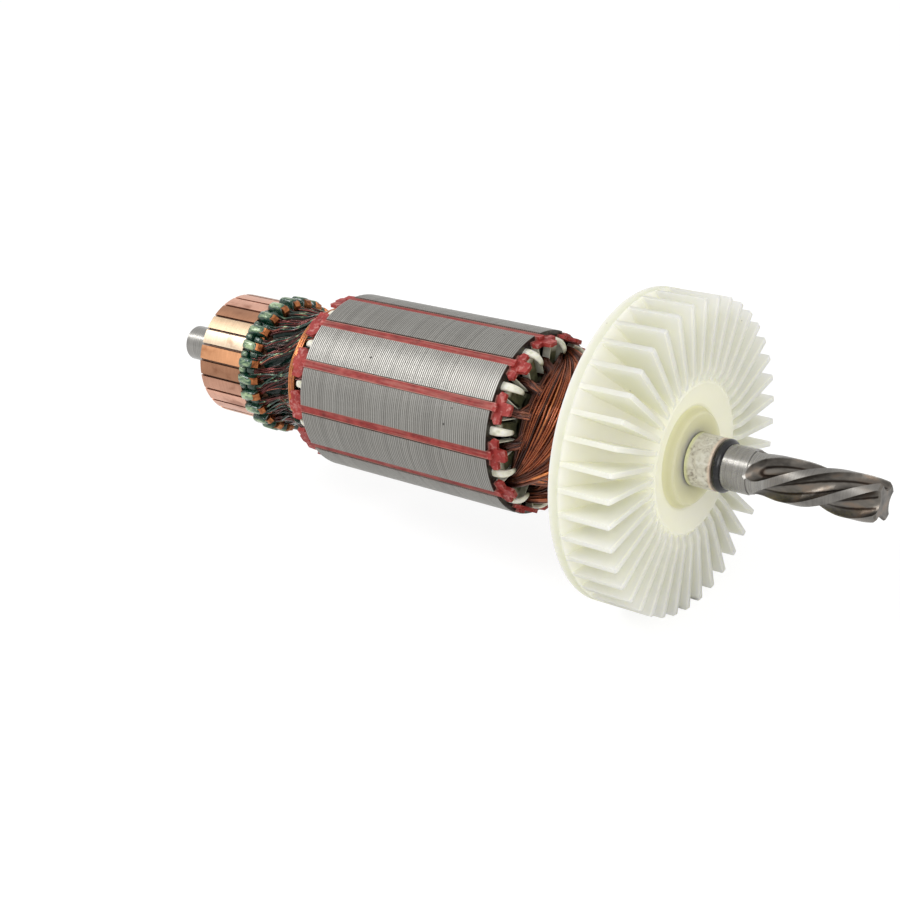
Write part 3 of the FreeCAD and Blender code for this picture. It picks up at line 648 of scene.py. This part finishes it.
# Shares of a sheet's thickness, each with the groove's depth and a share of the sheet's tone
SHEET_PROFILE = [(0.0, -0.10, 0.0), (0.20, -0.03, 0.8), (0.36, 0.0, 1.0),
                 (0.72, 0.0, 1.0), (0.88, -0.03, 0.7), (1.0, -0.10, 0.0)]
TOOTH_TOP_STEPS = 7
TOOTH_TIP = 1.1
MOUTH_HALF_ANGLE = 2.9
SHOULDER_ANGLE = 8.3
SHOULDER_DROP = 0.3
ROOT_ANGLE = 13.2
ROOT_RADIUS = 12.6


def tooth_outline(middle):
    """Angles and radii of a tooth's corners; below its shoulders it is plain, as papers and coils hide it."""
    low = middle - SLOT_STEP / 2
    high = middle + SLOT_STEP / 2
    tip = CORE_RADIUS - TOOTH_TIP
    shoulder = tip - SHOULDER_DROP
    edge = SLOT_STEP / 2 - MOUTH_HALF_ANGLE
    rising = [(low + ROOT_ANGLE, ROOT_RADIUS), (low + SHOULDER_ANGLE, shoulder), (middle - edge, tip)]
    top = [(middle - edge + 2 * edge * step / (TOOTH_TOP_STEPS - 1), CORE_RADIUS)
           for step in range(TOOTH_TOP_STEPS)]
    falling = [(middle + edge, tip), (high - SHOULDER_ANGLE, shoulder), (high - ROOT_ANGLE, ROOT_RADIUS)]
    return rising + top + falling


def make_core():
    """The stack, sheet by sheet."""
    rng = random.Random(11)
    pitch = (CORE_HIGH - CORE_LOW) / SHEETS
    outline = []
    for tooth in range(SLOTS):
        outline += tooth_outline((tooth + 0.5) * SLOT_STEP)
    columns = []
    for sheet in range(SHEETS):
        start = CORE_LOW + sheet * pitch
        offset = rng.uniform(-0.02, 0.0)
        tone = rng.uniform(0.68, 0.92)
        columns += [(start + pitch * share, offset + dip, tone * glow) for share, dip, glow in SHEET_PROFILE]
    points = []
    shades = []
    for angle, radius in outline:
        for x, offset, tone in columns:
            points.append(around(x, radius + offset, angle))
            shades.append(tone)
    faces = ring_faces(len(outline), len(columns))
    close_ends(points, faces, shades, [angle for angle, _ in outline], [column[0] for column in columns], 0.9)
    core = add_mesh("lamination_stack", points, faces, "stack_steel", shades)
    split_edges(core, 38)
    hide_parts("core_laminations")


# Coils: loose bundles of enamelled wire that cross the shaft at the fan end

WIRE_RADIUS = 0.27
WIRES_PER_COIL = 90
WIRE_LAYERS = 3
LAST_LEVEL = SLOTS // 2 - 1
LEVEL_STEP = 0.95
LAYER_STEP = 0.5
PILE_NEAR_CORE = 12.5
PILE_NEAR_FAN = 10.6
ROOM_BEFORE_FAN = 3.0
HEAD_STATIONS = 11
HEAD_CLEARANCE = 0.6
SIDE_SPREAD = 3.4
DEPTH_IN_SLOT = 5.0
SHADE_START = 1.5
SHADE_LENGTH = 7.0

# Radii between which a coil's wires leave a slot
LAST_WOUND = (16.2, 18.3)
UNDER_LAST_WOUND = (14.6, 17.0)
UPPER_COIL = (13.0, 15.8)
LOWER_COIL = (11.6, 14.0)

# Limit of the wires under the last coil: drop below the pile, rise at the core, and length of that rise
CEILING_START = 1.0
CEILING_IN_SLOT = 19.0
CEILING_BESIDE_LAST = (1.0, 5.2, 10.0)
CEILING_ELSEWHERE = (1.6, 7.5, 2.3)


def coil_level(index):
    """Order of winding; the pair of coils that was wound last has the last level and lies on top."""
    return index % (SLOTS // 2)


def partner_level(index, side):
    """Level of the coil that shares the slot on one side of a coil."""
    return coil_level((index - COIL_PITCH if side < 0 else index + COIL_PITCH) % SLOTS)


def side_radii(index, side):
    """Radii between which a coil's wires leave a slot."""
    if coil_level(index) == LAST_LEVEL:
        return LAST_WOUND
    if partner_level(index, side) == LAST_LEVEL:
        return UNDER_LAST_WOUND
    return UPPER_COIL if coil_level(index) > partner_level(index, side) else LOWER_COIL


def ceiling(index, side, x):
    """Highest radius of the wires that pass under the coil that was wound last."""
    if x <= CEILING_START:
        return CEILING_IN_SLOT
    beside_last = partner_level(index, side) == LAST_LEVEL
    drop, rise, length = CEILING_BESIDE_LAST if beside_last else CEILING_ELSEWHERE
    return PILE_NEAR_CORE - drop + rise * math.exp(-((x - CEILING_START) / length) ** 2)


def curve_weights(share):
    """Weights of a cubic curve's four points."""
    rest = 1 - share
    return rest ** 3, 3 * rest * rest * share, 3 * rest * share * share, share ** 3


def coil_wire(rng, index, rank, layer):
    """A wire over the fan-end head; rank 0 lies next to the core and rank 1 next to the fan."""
    # The coil that was wound last turns at once and lies tight; the others run on further first
    level = coil_level(index)
    if level == LAST_LEVEL:
        near, turn_at, slope, onward = 3.2, 1.0 + 1.0 * rank, 0.17, 0.5
    else:
        near, turn_at, slope, onward = 5.2 - 0.25 * level, 1.6 + 2.6 * rank, 0.3, 1.2
    far = FAN_BACK - ROOM_BEFORE_FAN - CORE_HIGH
    across = near + (far - near) * rank + rng.uniform(-0.25, 0.25)
    turn_at += rng.uniform(-0.2, 0.2)
    onward += slope * (across - turn_at)
    pile = PILE_NEAR_CORE + (PILE_NEAR_FAN - PILE_NEAR_CORE) * rank
    lowered = pile - LEVEL_STEP * (LAST_LEVEL - level) - LAYER_STEP * layer
    height = max(SLEEVE_RADIUS + HEAD_CLEARANCE, lowered)
    phases = [(rng.uniform(0, ANY_PHASE), rng.uniform(0.0, 0.16)) for _ in range(2)]
    halves = []
    for side in (-1, 1):
        low, high = side_radii(index, side)
        exit_share = 0.15 + 0.7 * rank + rng.uniform(-0.18, 0.18)
        exit_radius = low + (high - low) * min(1.0, max(0.0, exit_share))
        exit_angle = math.radians(HALF_SPAN + rng.uniform(-SIDE_SPREAD, SIDE_SPREAD))
        out = exit_radius * math.sin(exit_angle)
        up = exit_radius * math.cos(exit_angle)
        half = [(-DEPTH_IN_SLOT, out * side, up), (turn_at * 0.5, out * side, up)]
        for step in range(HEAD_STATIONS):
            share = step / (HEAD_STATIONS - 1)
            first, second, third, fourth = curve_weights(share)
            x = turn_at * first + (turn_at + onward) * second + across * (third + fourth)
            u = out * (first + second + 0.5 * third)
            v = up * (first + second) + height * (third + fourth)
            wave = sum(size * math.sin(phase + 2.4 * share * side) for phase, size in phases) * share
            half.append((x + wave, u * side, v))
        halves.append(half)
    middle = SLOT_STEP * index + HALF_SPAN
    path = []
    for x, u, v in halves[0] + halves[1][-2::-1]:
        radius = math.hypot(u, v)
        if level != LAST_LEVEL:
            radius = min(radius, ceiling(index, u, x) - 0.12 * layer)
        path.append(around(CORE_HIGH + x, radius, middle + math.degrees(math.atan2(u, v))))
    return path


def make_coils():
    """Each coil's wires, dark in the slots by painted shade that fades on their way out, with a random share
    of pale wires as painted highlight.
    """
    per_layer = WIRES_PER_COIL // WIRE_LAYERS
    for index in range(SLOTS):
        rng = random.Random(100 + index)
        # Painted highlight: a random share of wires gets the pale top of the tone ramp, more of them on the
        # coil that lies on top
        painted_highlight_share = 0.22 if coil_level(index) == LAST_LEVEL else 0.10
        paths = []
        for layer in range(WIRE_LAYERS):
            for number in range(per_layer):
                rank = min(1.0, (number + 0.5 * (layer % 2)) / (per_layer - 1))
                bright = rng.random() < painted_highlight_share
                tone = rng.uniform(0.88, 1.0) if bright else rng.uniform(0.0, 0.8)
                paths.append((coil_wire(rng, index, rank, layer), tone))
        points, faces, shades = tubes(paths, WIRE_RADIUS, 6)
        # Painted shade: wires are dark in the slots and brighten over SHADE_LENGTH millimetres beyond
        # SHADE_START
        for entry, point in enumerate(points):
            share = min(1.0, max(0.0, (point[0] - CORE_HIGH - SHADE_START) / SHADE_LENGTH))
            shades[entry] *= 0.12 + 0.88 * smooth(share)
        name = f"coil_{index + 1:02d}"
        coil = add_mesh("wound_" + name, points, faces, "enamelled_copper", shades)
        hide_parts(name)


# Commutator end: varnished mass, leads, the last coils' heads, and varnish on the hooks

# Shares of the varnished mass's length, each with a radius
BED_STOPS = [(0.0, 14.7), (0.16, 14.5), (0.42, 14.0), (0.68, 14.8), (0.88, 15.9), (1.0, 16.3)]
BED_TOP = BED_STOPS[-1][1]
BED_ROWS = 288
BED_COLUMNS = 28
RIDGE_HEIGHT = 1.15
HEADS_RADIUS = 15.4
LEAD_END = CORE_LOW - 2.2
LEAD_TURN = 40.0
LEAD_STATIONS = 15
LEAD_SPREAD = 11.0
LEAD_RADIUS = 0.17
COATED_LEAD_RADIUS = 0.26


def bed_radius(x):
    """Radius of the varnished mass: high at the hooks and the core, thin between them."""
    share = (x - BED_LOW) / (BED_HIGH - BED_LOW)
    if share > 1.0:
        beyond = min(1.0, (x - BED_HIGH) / (LEAD_END - BED_HIGH))
        return BED_TOP + (HEADS_RADIUS - BED_TOP) * smooth(beyond)
    for (x0, r0), (x1, r1) in zip(BED_STOPS, BED_STOPS[1:]):
        if share <= x1:
            return r0 + (r1 - r0) * smooth(max(0.0, (share - x0) / (x1 - x0)))


def lead_angle(start, target, x):
    """Angle of a lead on its way from its hook to its slot."""
    share = min(1.0, max(0.0, (x - HOOK_END) / (LEAD_END - HOOK_END)))
    return start + (target - start) * share ** 0.8


def make_bed():
    """Varnished mass with a ridge over each pair of leads, which runs towards its slot; ridges are painted
    lighter and valleys darker.
    """
    rng = random.Random(5)
    xs = [BED_LOW + (BED_HIGH - BED_LOW) * column / (BED_COLUMNS - 1) for column in range(BED_COLUMNS)]
    angles = [360.0 * row / BED_ROWS for row in range(BED_ROWS)]
    ridges = [rng.uniform(0.45, 1.0) for _ in range(BARS)]
    points = []
    shades = []
    for angle in angles:
        for x in xs:
            turned = angle - lead_angle(0.0, -LEAD_TURN, x) - FIRST_BAR
            bar = (turned / BAR_STEP) % BARS
            ridge = (0.5 + 0.5 * math.cos(2 * math.pi * bar)) ** 1.5
            height = ridges[int(bar + 0.5) % BARS] * ridge
            points.append(around(x, bed_radius(x) - RIDGE_HEIGHT + RIDGE_HEIGHT * height, angle))
            # Painted light and shade: ridge tops get a lighter varnish tone and the valleys between them a
            # darker one
            shades.append(0.65 * height)
    faces = ring_faces(BED_ROWS, BED_COLUMNS)
    close_ends(points, faces, shades, angles, xs, 0.1)
    bed = add_mesh("varnished_winding", points, faces, "green_varnish", shades)
    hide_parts("varnished_lead_bed")


def lead_path(rng, hook_angle, target, lift):
    """From under a hook, round its side, over the bed and down to a slot."""
    start = hook_angle - rng.uniform(-1.0, 8.5)
    path = [around(TRACK_END + 2.6, TRACK_RADIUS + 0.1, hook_angle - 1.0),
            around(RISER_END - 0.8, TRACK_RADIUS + 0.1, start - 0.5)]
    phase = rng.uniform(0, ANY_PHASE)
    bend = rng.uniform(0.05, 0.25)
    stray = rng.uniform(-4.5, 4.5)
    first = HOOK_END + 0.1
    for step in range(LEAD_STATIONS):
        x = first + (LEAD_END - first) * step / (LEAD_STATIONS - 1)
        angle = (lead_angle(start - 1.0, target, x) + 0.9 * math.sin(phase + step * 0.5)
                 + stray * math.sin(math.pi * step / (LEAD_STATIONS - 1)))
        radius = bed_radius(x) + lift + bend * math.sin(phase + step * 0.6)
        path.append(around(x, radius, angle))
    path.append(around(CORE_LOW - 0.4, HEADS_RADIUS - 1.0, target))
    return path


# Strands of a hook: how many, how far off the varnish, their tones, and whether they are coated
STRANDS = [
    (2, (-0.1, 0.25), (0.1, 0.9), True),
    (8, (-0.25, 0.25), (0.2, 1.0), False),
    (12, (-0.35, 0.0), (0.0, 0.3), False),
]


def make_leads():
    """Strands from each hook: most are drowned in varnish, a few lie bare on top, two are coated and carry
    milky painted glints.
    """
    rng = random.Random(21)
    bare = []
    coated = []
    for index in range(BARS):
        hook_angle = FIRST_BAR + BAR_STEP * index
        slot = math.floor((hook_angle - LEAD_TURN) / SLOT_STEP + 0.5) * SLOT_STEP
        for count, lifts, tones, is_coated in STRANDS:
            for _ in range(count):
                target = slot + rng.uniform(-LEAD_SPREAD, LEAD_SPREAD)
                path = lead_path(rng, hook_angle, target, rng.uniform(*lifts))
                (coated if is_coated else bare).append((path, rng.uniform(*tones)))
    points, faces, shades = tubes(bare, LEAD_RADIUS, 6)
    leads = add_mesh("leads", points, faces, "varnished_wire", shades)
    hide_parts("commutator_leads")
    points, faces, shades = tubes(coated, COATED_LEAD_RADIUS, 7)
    # Painted glints: milky patches come and go along each coated strand
    for entry, point in enumerate(points):
        wave = math.sin(point[0] * 1.7 + shades[entry] * 31.0)
        shades[entry] = max(0.0, wave) ** 2
    add_mesh("coated_leads_painted_glints", points, faces, "milky_varnish_painted_glints", shades)


LAST_HEAD_MIDDLES = (45.0, 225.0)
LAST_HEAD_WIRES = 14
LAST_HEAD_ROW = 7
LAST_HEAD_STEPS = 34
LAST_HEAD_PITCH = 0.25
LAST_HEAD_LAYER = 0.38
LAST_HEAD_WIRE_RADIUS = 0.24


def make_last_heads():
    """Heads of the pair of coils that was wound last, outside the varnish, beside the core."""
    rng = random.Random(33)
    paths = []
    for middle in LAST_HEAD_MIDDLES:
        for wire in range(LAST_HEAD_WIRES):
            x = BED_HIGH - 0.05 + LAST_HEAD_PITCH * (wire % LAST_HEAD_ROW) + rng.uniform(-0.12, 0.12)
            radius = BED_TOP + LAST_HEAD_LAYER * (wire // LAST_HEAD_ROW) + rng.uniform(-0.12, 0.12)
            path = []
            for step in range(LAST_HEAD_STEPS + 1):
                share = -1 + 2 * step / LAST_HEAD_STEPS
                end = smooth(max(0.0, abs(share) - 0.78) / 0.22)
                wave = 0.10 * math.sin(step * 0.7 + wire * 2.1)
                place = x + wave + (CORE_LOW - 0.6 - x) * end
                path.append(around(place, radius - 0.9 * end, middle + (HALF_SPAN + 0.5) * share))
            paths.append((path, rng.uniform(0.2, 1.0)))
    points, faces, shades = tubes(paths, LAST_HEAD_WIRE_RADIUS, 6)
    add_mesh("last_coil_heads", points, faces, "bright_wire", shades)


COLLAR_ROWS = BARS * 12
COLLAR_PROFILE = [0.0, 0.08, 0.3, 0.5, 0.7, 0.9, 1.0]


def make_collar():
    """Dark uneven collar of varnish round the risers, under the hooks."""
    start = TRACK_END - 0.02
    end = RISER_END + 0.9
    points = []
    for row in range(COLLAR_ROWS):
        angle = 360.0 * row / COLLAR_ROWS
        lump = 0.12 * math.sin(angle * 0.71) + 0.10 * math.sin(angle * 0.37 + 1)
        for share in COLLAR_PROFILE:
            rounding = max(0.0, 1 - (2 * share - 1) ** 4) ** 0.5
            base = TRACK_RADIUS - (0.52 if share < 0.5 else 0.95)
            points.append(around(start + (end - start) * share, base + (0.30 + lump) * rounding, angle))
    faces = ring_faces(COLLAR_ROWS, len(COLLAR_PROFILE))
    shades = [0.3] * len(points)
    add_mesh("varnish_collar", points, faces, "green_varnish", shades)


LUMP_STEPS = 9


def lump_mesh(centre_x, radius, angle, half_length, half_width, height, softness, rng):
    """A rounded lump on the commutator's barrel: its points, its faces and how near its crest each is."""
    points = []
    crests = []
    tilt = rng.uniform(-0.25, 0.25)
    bulge = rng.uniform(0.97, 1.08)
    for row in range(LUMP_STEPS):
        a = math.cos(math.pi * row / (LUMP_STEPS - 1))
        for column in range(LUMP_STEPS):
            b = math.cos(math.pi * column / (LUMP_STEPS - 1))
            rise = max(0.0, (1 - abs(a) ** 8) * (1 - abs(b) ** 5)) ** softness
            width = half_width * (1 - 0.12 * a * a)
            side = b * width + tilt * a
            points.append(around(centre_x - a * half_length, radius + height * bulge * rise,
                                 angle + math.degrees(side / radius)))
            crests.append((1 - a ** 6) * (1 - b ** 4))
    faces = []
    for row in range(LUMP_STEPS - 1):
        for column in range(LUMP_STEPS - 1):
            first = row * LUMP_STEPS + column
            faces.append((first, first + 1, first + LUMP_STEPS + 1, first + LUMP_STEPS))
    return points, faces, crests


def make_lumps():
    """Milky varnish on the front of each hook, and two lumps between it and the next one; their crests are
    lighter and milky as painted highlight.
    """
    rng = random.Random(8)
    points = []
    faces = []
    shades = []
    hook_front = TRACK_END + 0.65
    bare_from = HOOK_END - 0.85
    middle = (hook_front + bare_from) / 2
    # Each lump: place, radius, angle, half length, half width, height, softness and tone, which scales its
    # painted highlight
    for index in range(BARS):
        hook_angle = FIRST_BAR + BAR_STEP * index
        length = (bare_from - hook_front) / 2 + rng.uniform(-0.1, 0.2)
        over_hook = HOOK_TOP - TRACK_RADIUS + 0.7 + 0.22
        lumps = [(middle, TRACK_RADIUS - 0.7, hook_angle, length, 1.18, over_hook, 0.30,
                  rng.uniform(0.62, 1.0))]
        between = hook_angle + BAR_STEP / 2
        lumps.append((TRACK_END + rng.uniform(1.2, 1.7), TRACK_RADIUS - 0.6,
                      between + rng.uniform(-0.8, 0.8), 1.1, 0.95,
                      rng.uniform(1.1, 1.6), 0.45, rng.uniform(0.3, 0.85)))
        lumps.append((RISER_END - rng.uniform(0.9, 1.5), TRACK_RADIUS - 0.6,
                      between + rng.uniform(-0.8, 0.8), 1.3, 0.9,
                      rng.uniform(0.9, 1.4), 0.45, rng.uniform(0.1, 0.45)))
        for *form, tone in lumps:
            lump_points, lump_faces, crests = lump_mesh(*form, rng)
            join(points, faces, lump_points, lump_faces)
            # Painted highlight: each lump's crest is lighter and milky, scaled by its tone
            shades += [tone * crest for crest in crests]
    add_mesh("hook_varnish", points, faces, "milky_varnish_painted_glints", shades)


# End plates with curved pegs, and the rubber ring

PLATE_GAP = 0.02
PLATE_THICKNESS = 1.1
PLATE_HUB_RADIUS = 11.6
PLATE_STEPS = 96
PLATE_BEVEL = 0.25
ARM_FOOT = 10.6
ARM_HALF_WIDTH = 1.4
PEG_STATIONS = 12
PEG_CORNERS = 12
PEG_DEPTH = 2.0

# Each plate's side, the core's face that it lies against, the way it faces, and its pegs' reach and drop
PLATES = [("fan_side", CORE_HIGH, 1, 4.2, 2.8), ("lead_side", CORE_LOW, -1, 3.5, 1.2)]


def arm_mesh(face, outward, angle):
    """A flat arm up a tooth's end, with a bevel all round its front."""
    points = []
    for x, inset in ((PLATE_GAP, 0.0), (PLATE_THICKNESS - 0.3, 0.0), (PLATE_THICKNESS, PLATE_BEVEL)):
        side = ARM_HALF_WIDTH - inset
        top = ARM_TOP - inset
        for radius, offset in ((ARM_FOOT, -side), (ARM_FOOT, side), (top, side), (top, -side)):
            points.append(beside(face + outward * x, radius, offset, angle))
    return points, rod_faces(3, 4)


def peg_mesh(face, outward, reach_x, drop, angle, rng):
    """A leaf that leaves the core level and curves down at its tip; each ring is a rounded section."""
    points = []
    lean = rng.uniform(-0.25, 0.25)
    for station in range(PEG_STATIONS):
        share = station / (PEG_STATIONS - 1)
        along = reach_x * math.sin(share * math.pi / 2) ** 0.9
        down = drop * (1 - math.cos(share * math.pi / 2)) ** 1.3
        slope = share * 0.9
        half_width = 1.04 * (1 - 0.60 * share ** 2.0)
        half_thick = 0.62 * (1 - 0.45 * share)
        if station == PEG_STATIONS - 1:
            half_width *= 0.55
            half_thick *= 0.5
        for corner in range(PEG_CORNERS):
            turn = 2 * math.pi * corner / PEG_CORNERS
            side = abs(math.cos(turn)) ** 0.7 * math.copysign(half_width, math.cos(turn))
            rise = abs(math.sin(turn)) ** 0.7 * math.copysign(half_thick, math.sin(turn))
            x = along + rise * math.sin(slope)
            radius = CORE_RADIUS - PEG_DEPTH - down + rise * math.cos(slope)
            points.append(beside(face + outward * x, radius, side + lean * share, angle))
    return points, rod_faces(PEG_STATIONS, PEG_CORNERS)


def make_end_plates():
    """Both plates against the core: an arm and a curved peg on each tooth, and a ring."""
    for name, face, outward, reach_x, drop in PLATES:
        rng = random.Random(name)
        points = []
        faces = []
        for tooth in range(SLOTS):
            angle = (tooth + 0.5) * SLOT_STEP
            join(points, faces, *arm_mesh(face, outward, angle))
            join(points, faces, *peg_mesh(face, outward, reach_x, drop, angle, rng))
        bore = SLEEVE_RADIUS + 0.05
        section = [(PLATE_GAP, bore), (PLATE_GAP, PLATE_HUB_RADIUS),
                   (PLATE_THICKNESS - PLATE_BEVEL, PLATE_HUB_RADIUS),
                   (PLATE_THICKNESS, PLATE_HUB_RADIUS - PLATE_BEVEL), (PLATE_THICKNESS, bore)]
        ring = [around(face + outward * x, radius, 360.0 * step / PLATE_STEPS)
                for step in range(PLATE_STEPS) for x, radius in section]
        join(points, faces, ring, torus_faces(PLATE_STEPS, len(section)))
        plate = add_mesh("end_plate_" + name, points, faces, "ivory_end_plate")
        split_edges(plate, 50)
        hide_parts("end_insulator_" + name)


RUBBER_STEPS = 72
RUBBER_CORNERS = 18


def make_rubber_ring():
    """Round ring in the shaft's groove."""
    low, high = span("rubber_ring")
    half = (high - low) / 2
    middle_radius = reach("rubber_ring") - half
    points = []
    for step in range(RUBBER_STEPS):
        for corner in range(RUBBER_CORNERS):
            turn = 2 * math.pi * corner / RUBBER_CORNERS
            points.append(around((low + high) / 2 + half * math.cos(turn),
                                 middle_radius + half * math.sin(turn), 360.0 * step / RUBBER_STEPS))
    faces = torus_faces(RUBBER_STEPS, RUBBER_CORNERS)
    ring = add_mesh("round_ring", points, faces, "black_rubber")
    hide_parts("rubber_ring")


def dress_nodes():
    """Materials of the CAD nodes: each bar has its own tone, and the others go by their slot."""
    bars = {f"commutator_bar_{index + 1:02d}": BAR_ORDER[index % len(BAR_ORDER)] for index in range(BARS)}
    slots = {row["node"]: row["material_slot"] for row in frame["record"]["subparts"]}
    for name, node in frame["nodes"].items():
        look = BAR_LOOKS[bars[name]] if name in bars else LOOKS[slots[name]]
        node.data.materials.clear()
        node.data.materials.append(look)


# Camera, light and floor

CAMERA_AIM = Vector((-69.1, -12.5, -5.9)) * MM
CAMERA_DISTANCE = 380 * MM
CAMERA_AZIMUTH = 39.14
CAMERA_ELEVATION = 23.61
CAMERA_ROLL = -3.72
CAMERA_LENS = 65.72
CAMERA_SENSOR = 36.0
CAMERA_NEAR = 10 * MM

# In metres, as the places of the lamps are
LIGHT_AIM = Vector((-0.07, 0.0, 0.0))

SOFT_COLOR = (1.0, 0.995, 0.98, 1)
SOFT_LIGHT = 0.64
FLOOR_GAP = 0.2
FLOOR_HALF = 3000 * MM
FLOOR_GLOW = 0.86


def make_camera():
    data = bpy.data.cameras.new("camera")
    data.lens = CAMERA_LENS
    data.sensor_width = CAMERA_SENSOR
    data.clip_start = CAMERA_NEAR
    camera = bpy.data.objects.new("camera", data)
    bpy.context.scene.collection.objects.link(camera)
    azimuth = math.radians(CAMERA_AZIMUTH)
    elevation = math.radians(CAMERA_ELEVATION)
    back = Vector((math.sin(azimuth) * math.cos(elevation),
                   -math.cos(azimuth) * math.cos(elevation), math.sin(elevation)))
    turned = (-back).to_track_quat("-Z", "Y").to_matrix().to_4x4()
    roll = Matrix.Rotation(math.radians(CAMERA_ROLL), 4, "Z")
    camera.matrix_world = Matrix.Translation(CAMERA_AIM + back * CAMERA_DISTANCE) @ turned @ roll
    bpy.context.scene.camera = camera


def add_softbox(name, place, size, power):
    """A soft lamp in metres and watts, turned towards the armature."""
    data = bpy.data.lights.new(name, "AREA")
    data.shape = "RECTANGLE"
    data.size, data.size_y = size
    data.energy = power
    lamp = bpy.data.objects.new(name, data)
    bpy.context.scene.collection.objects.link(lamp)
    lamp.location = place
    lamp.rotation_euler = (LIGHT_AIM - Vector(place)).to_track_quat("-Z", "Y").to_euler()


def make_lights():
    add_softbox("key", (-0.50, -0.34, 0.54), (0.36, 0.28), 2.8)
    add_softbox("fill", (0.62, -0.38, 0.34), (0.5, 0.5), 3.2)
    add_softbox("spark", (-0.42, -0.42, 0.44), (0.07, 0.10), 0.22)


def make_world():
    """White to the camera and in reflections, and soft light on the armature."""
    world = bpy.data.worlds.new("studio")
    bpy.context.scene.world = world
    world.use_nodes = True
    nodes = world.node_tree.nodes
    links = world.node_tree.links
    nodes.clear()
    path = nodes.new("ShaderNodeLightPath")
    seen = path.outputs["Is Camera Ray"]
    for kind in ("Is Transmission Ray", "Is Glossy Ray"):
        either = nodes.new("ShaderNodeMath")
        either.operation = "MAXIMUM"
        links.new(seen, either.inputs[0])
        links.new(path.outputs[kind], either.inputs[1])
        seen = either.outputs[0]
    white = nodes.new("ShaderNodeBackground")
    white.inputs["Color"].default_value = (1, 1, 1, 1)
    white.inputs["Strength"].default_value = 1.0
    soft = nodes.new("ShaderNodeBackground")
    soft.inputs["Color"].default_value = SOFT_COLOR
    soft.inputs["Strength"].default_value = SOFT_LIGHT
    mix = nodes.new("ShaderNodeMixShader")
    links.new(seen, mix.inputs[0])
    links.new(soft.outputs[0], mix.inputs[1])
    links.new(white.outputs[0], mix.inputs[2])
    output = nodes.new("ShaderNodeOutputWorld")
    links.new(mix.outputs[0], output.inputs[0])


def make_floor():
    """Pale floor just under the fan; it shows white and keeps the object's shadow."""
    level = -(FAN_RADIUS + FLOOR_GAP) * MM
    mesh = bpy.data.meshes.new("floor")
    corners = [(-FLOOR_HALF, -FLOOR_HALF, level), (FLOOR_HALF, -FLOOR_HALF, level),
               (FLOOR_HALF, FLOOR_HALF, level), (-FLOOR_HALF, FLOOR_HALF, level)]
    mesh.from_pydata(corners, [], [(0, 1, 2, 3)])
    floor = bpy.data.objects.new("floor", mesh)
    bpy.context.scene.collection.objects.link(floor)
    look = Look("pale_floor", (0.80, 0.80, 0.80), 0.9)
    look.set("Specular IOR Level", 0.1)
    plain = look.ramp(look.noise(40.0, 2.0), (0.3, (0.79, 0.79, 0.79)), (0.7, (0.81, 0.81, 0.81)))
    path = look.nodes.new("ShaderNodeLightPath")
    seen = look.math("MAXIMUM", path.outputs["Is Camera Ray"], path.outputs["Is Glossy Ray"])
    look.color(look.mix(seen, plain, (0.20, 0.20, 0.20)))
    look.put(look.shader, "Emission Strength", look.times(seen, FLOOR_GLOW))
    look.set("Emission Color", (1, 1, 1, 1))
    mesh.materials.append(look.material)


dress_nodes()
make_core()
make_coils()
make_bed()
make_leads()
make_last_heads()
make_collar()
make_lumps()
make_end_plates()
make_rubber_ring()
make_camera()
make_lights()
make_world()
make_floor()
bpy.context.scene.view_settings.view_transform = "Standard"
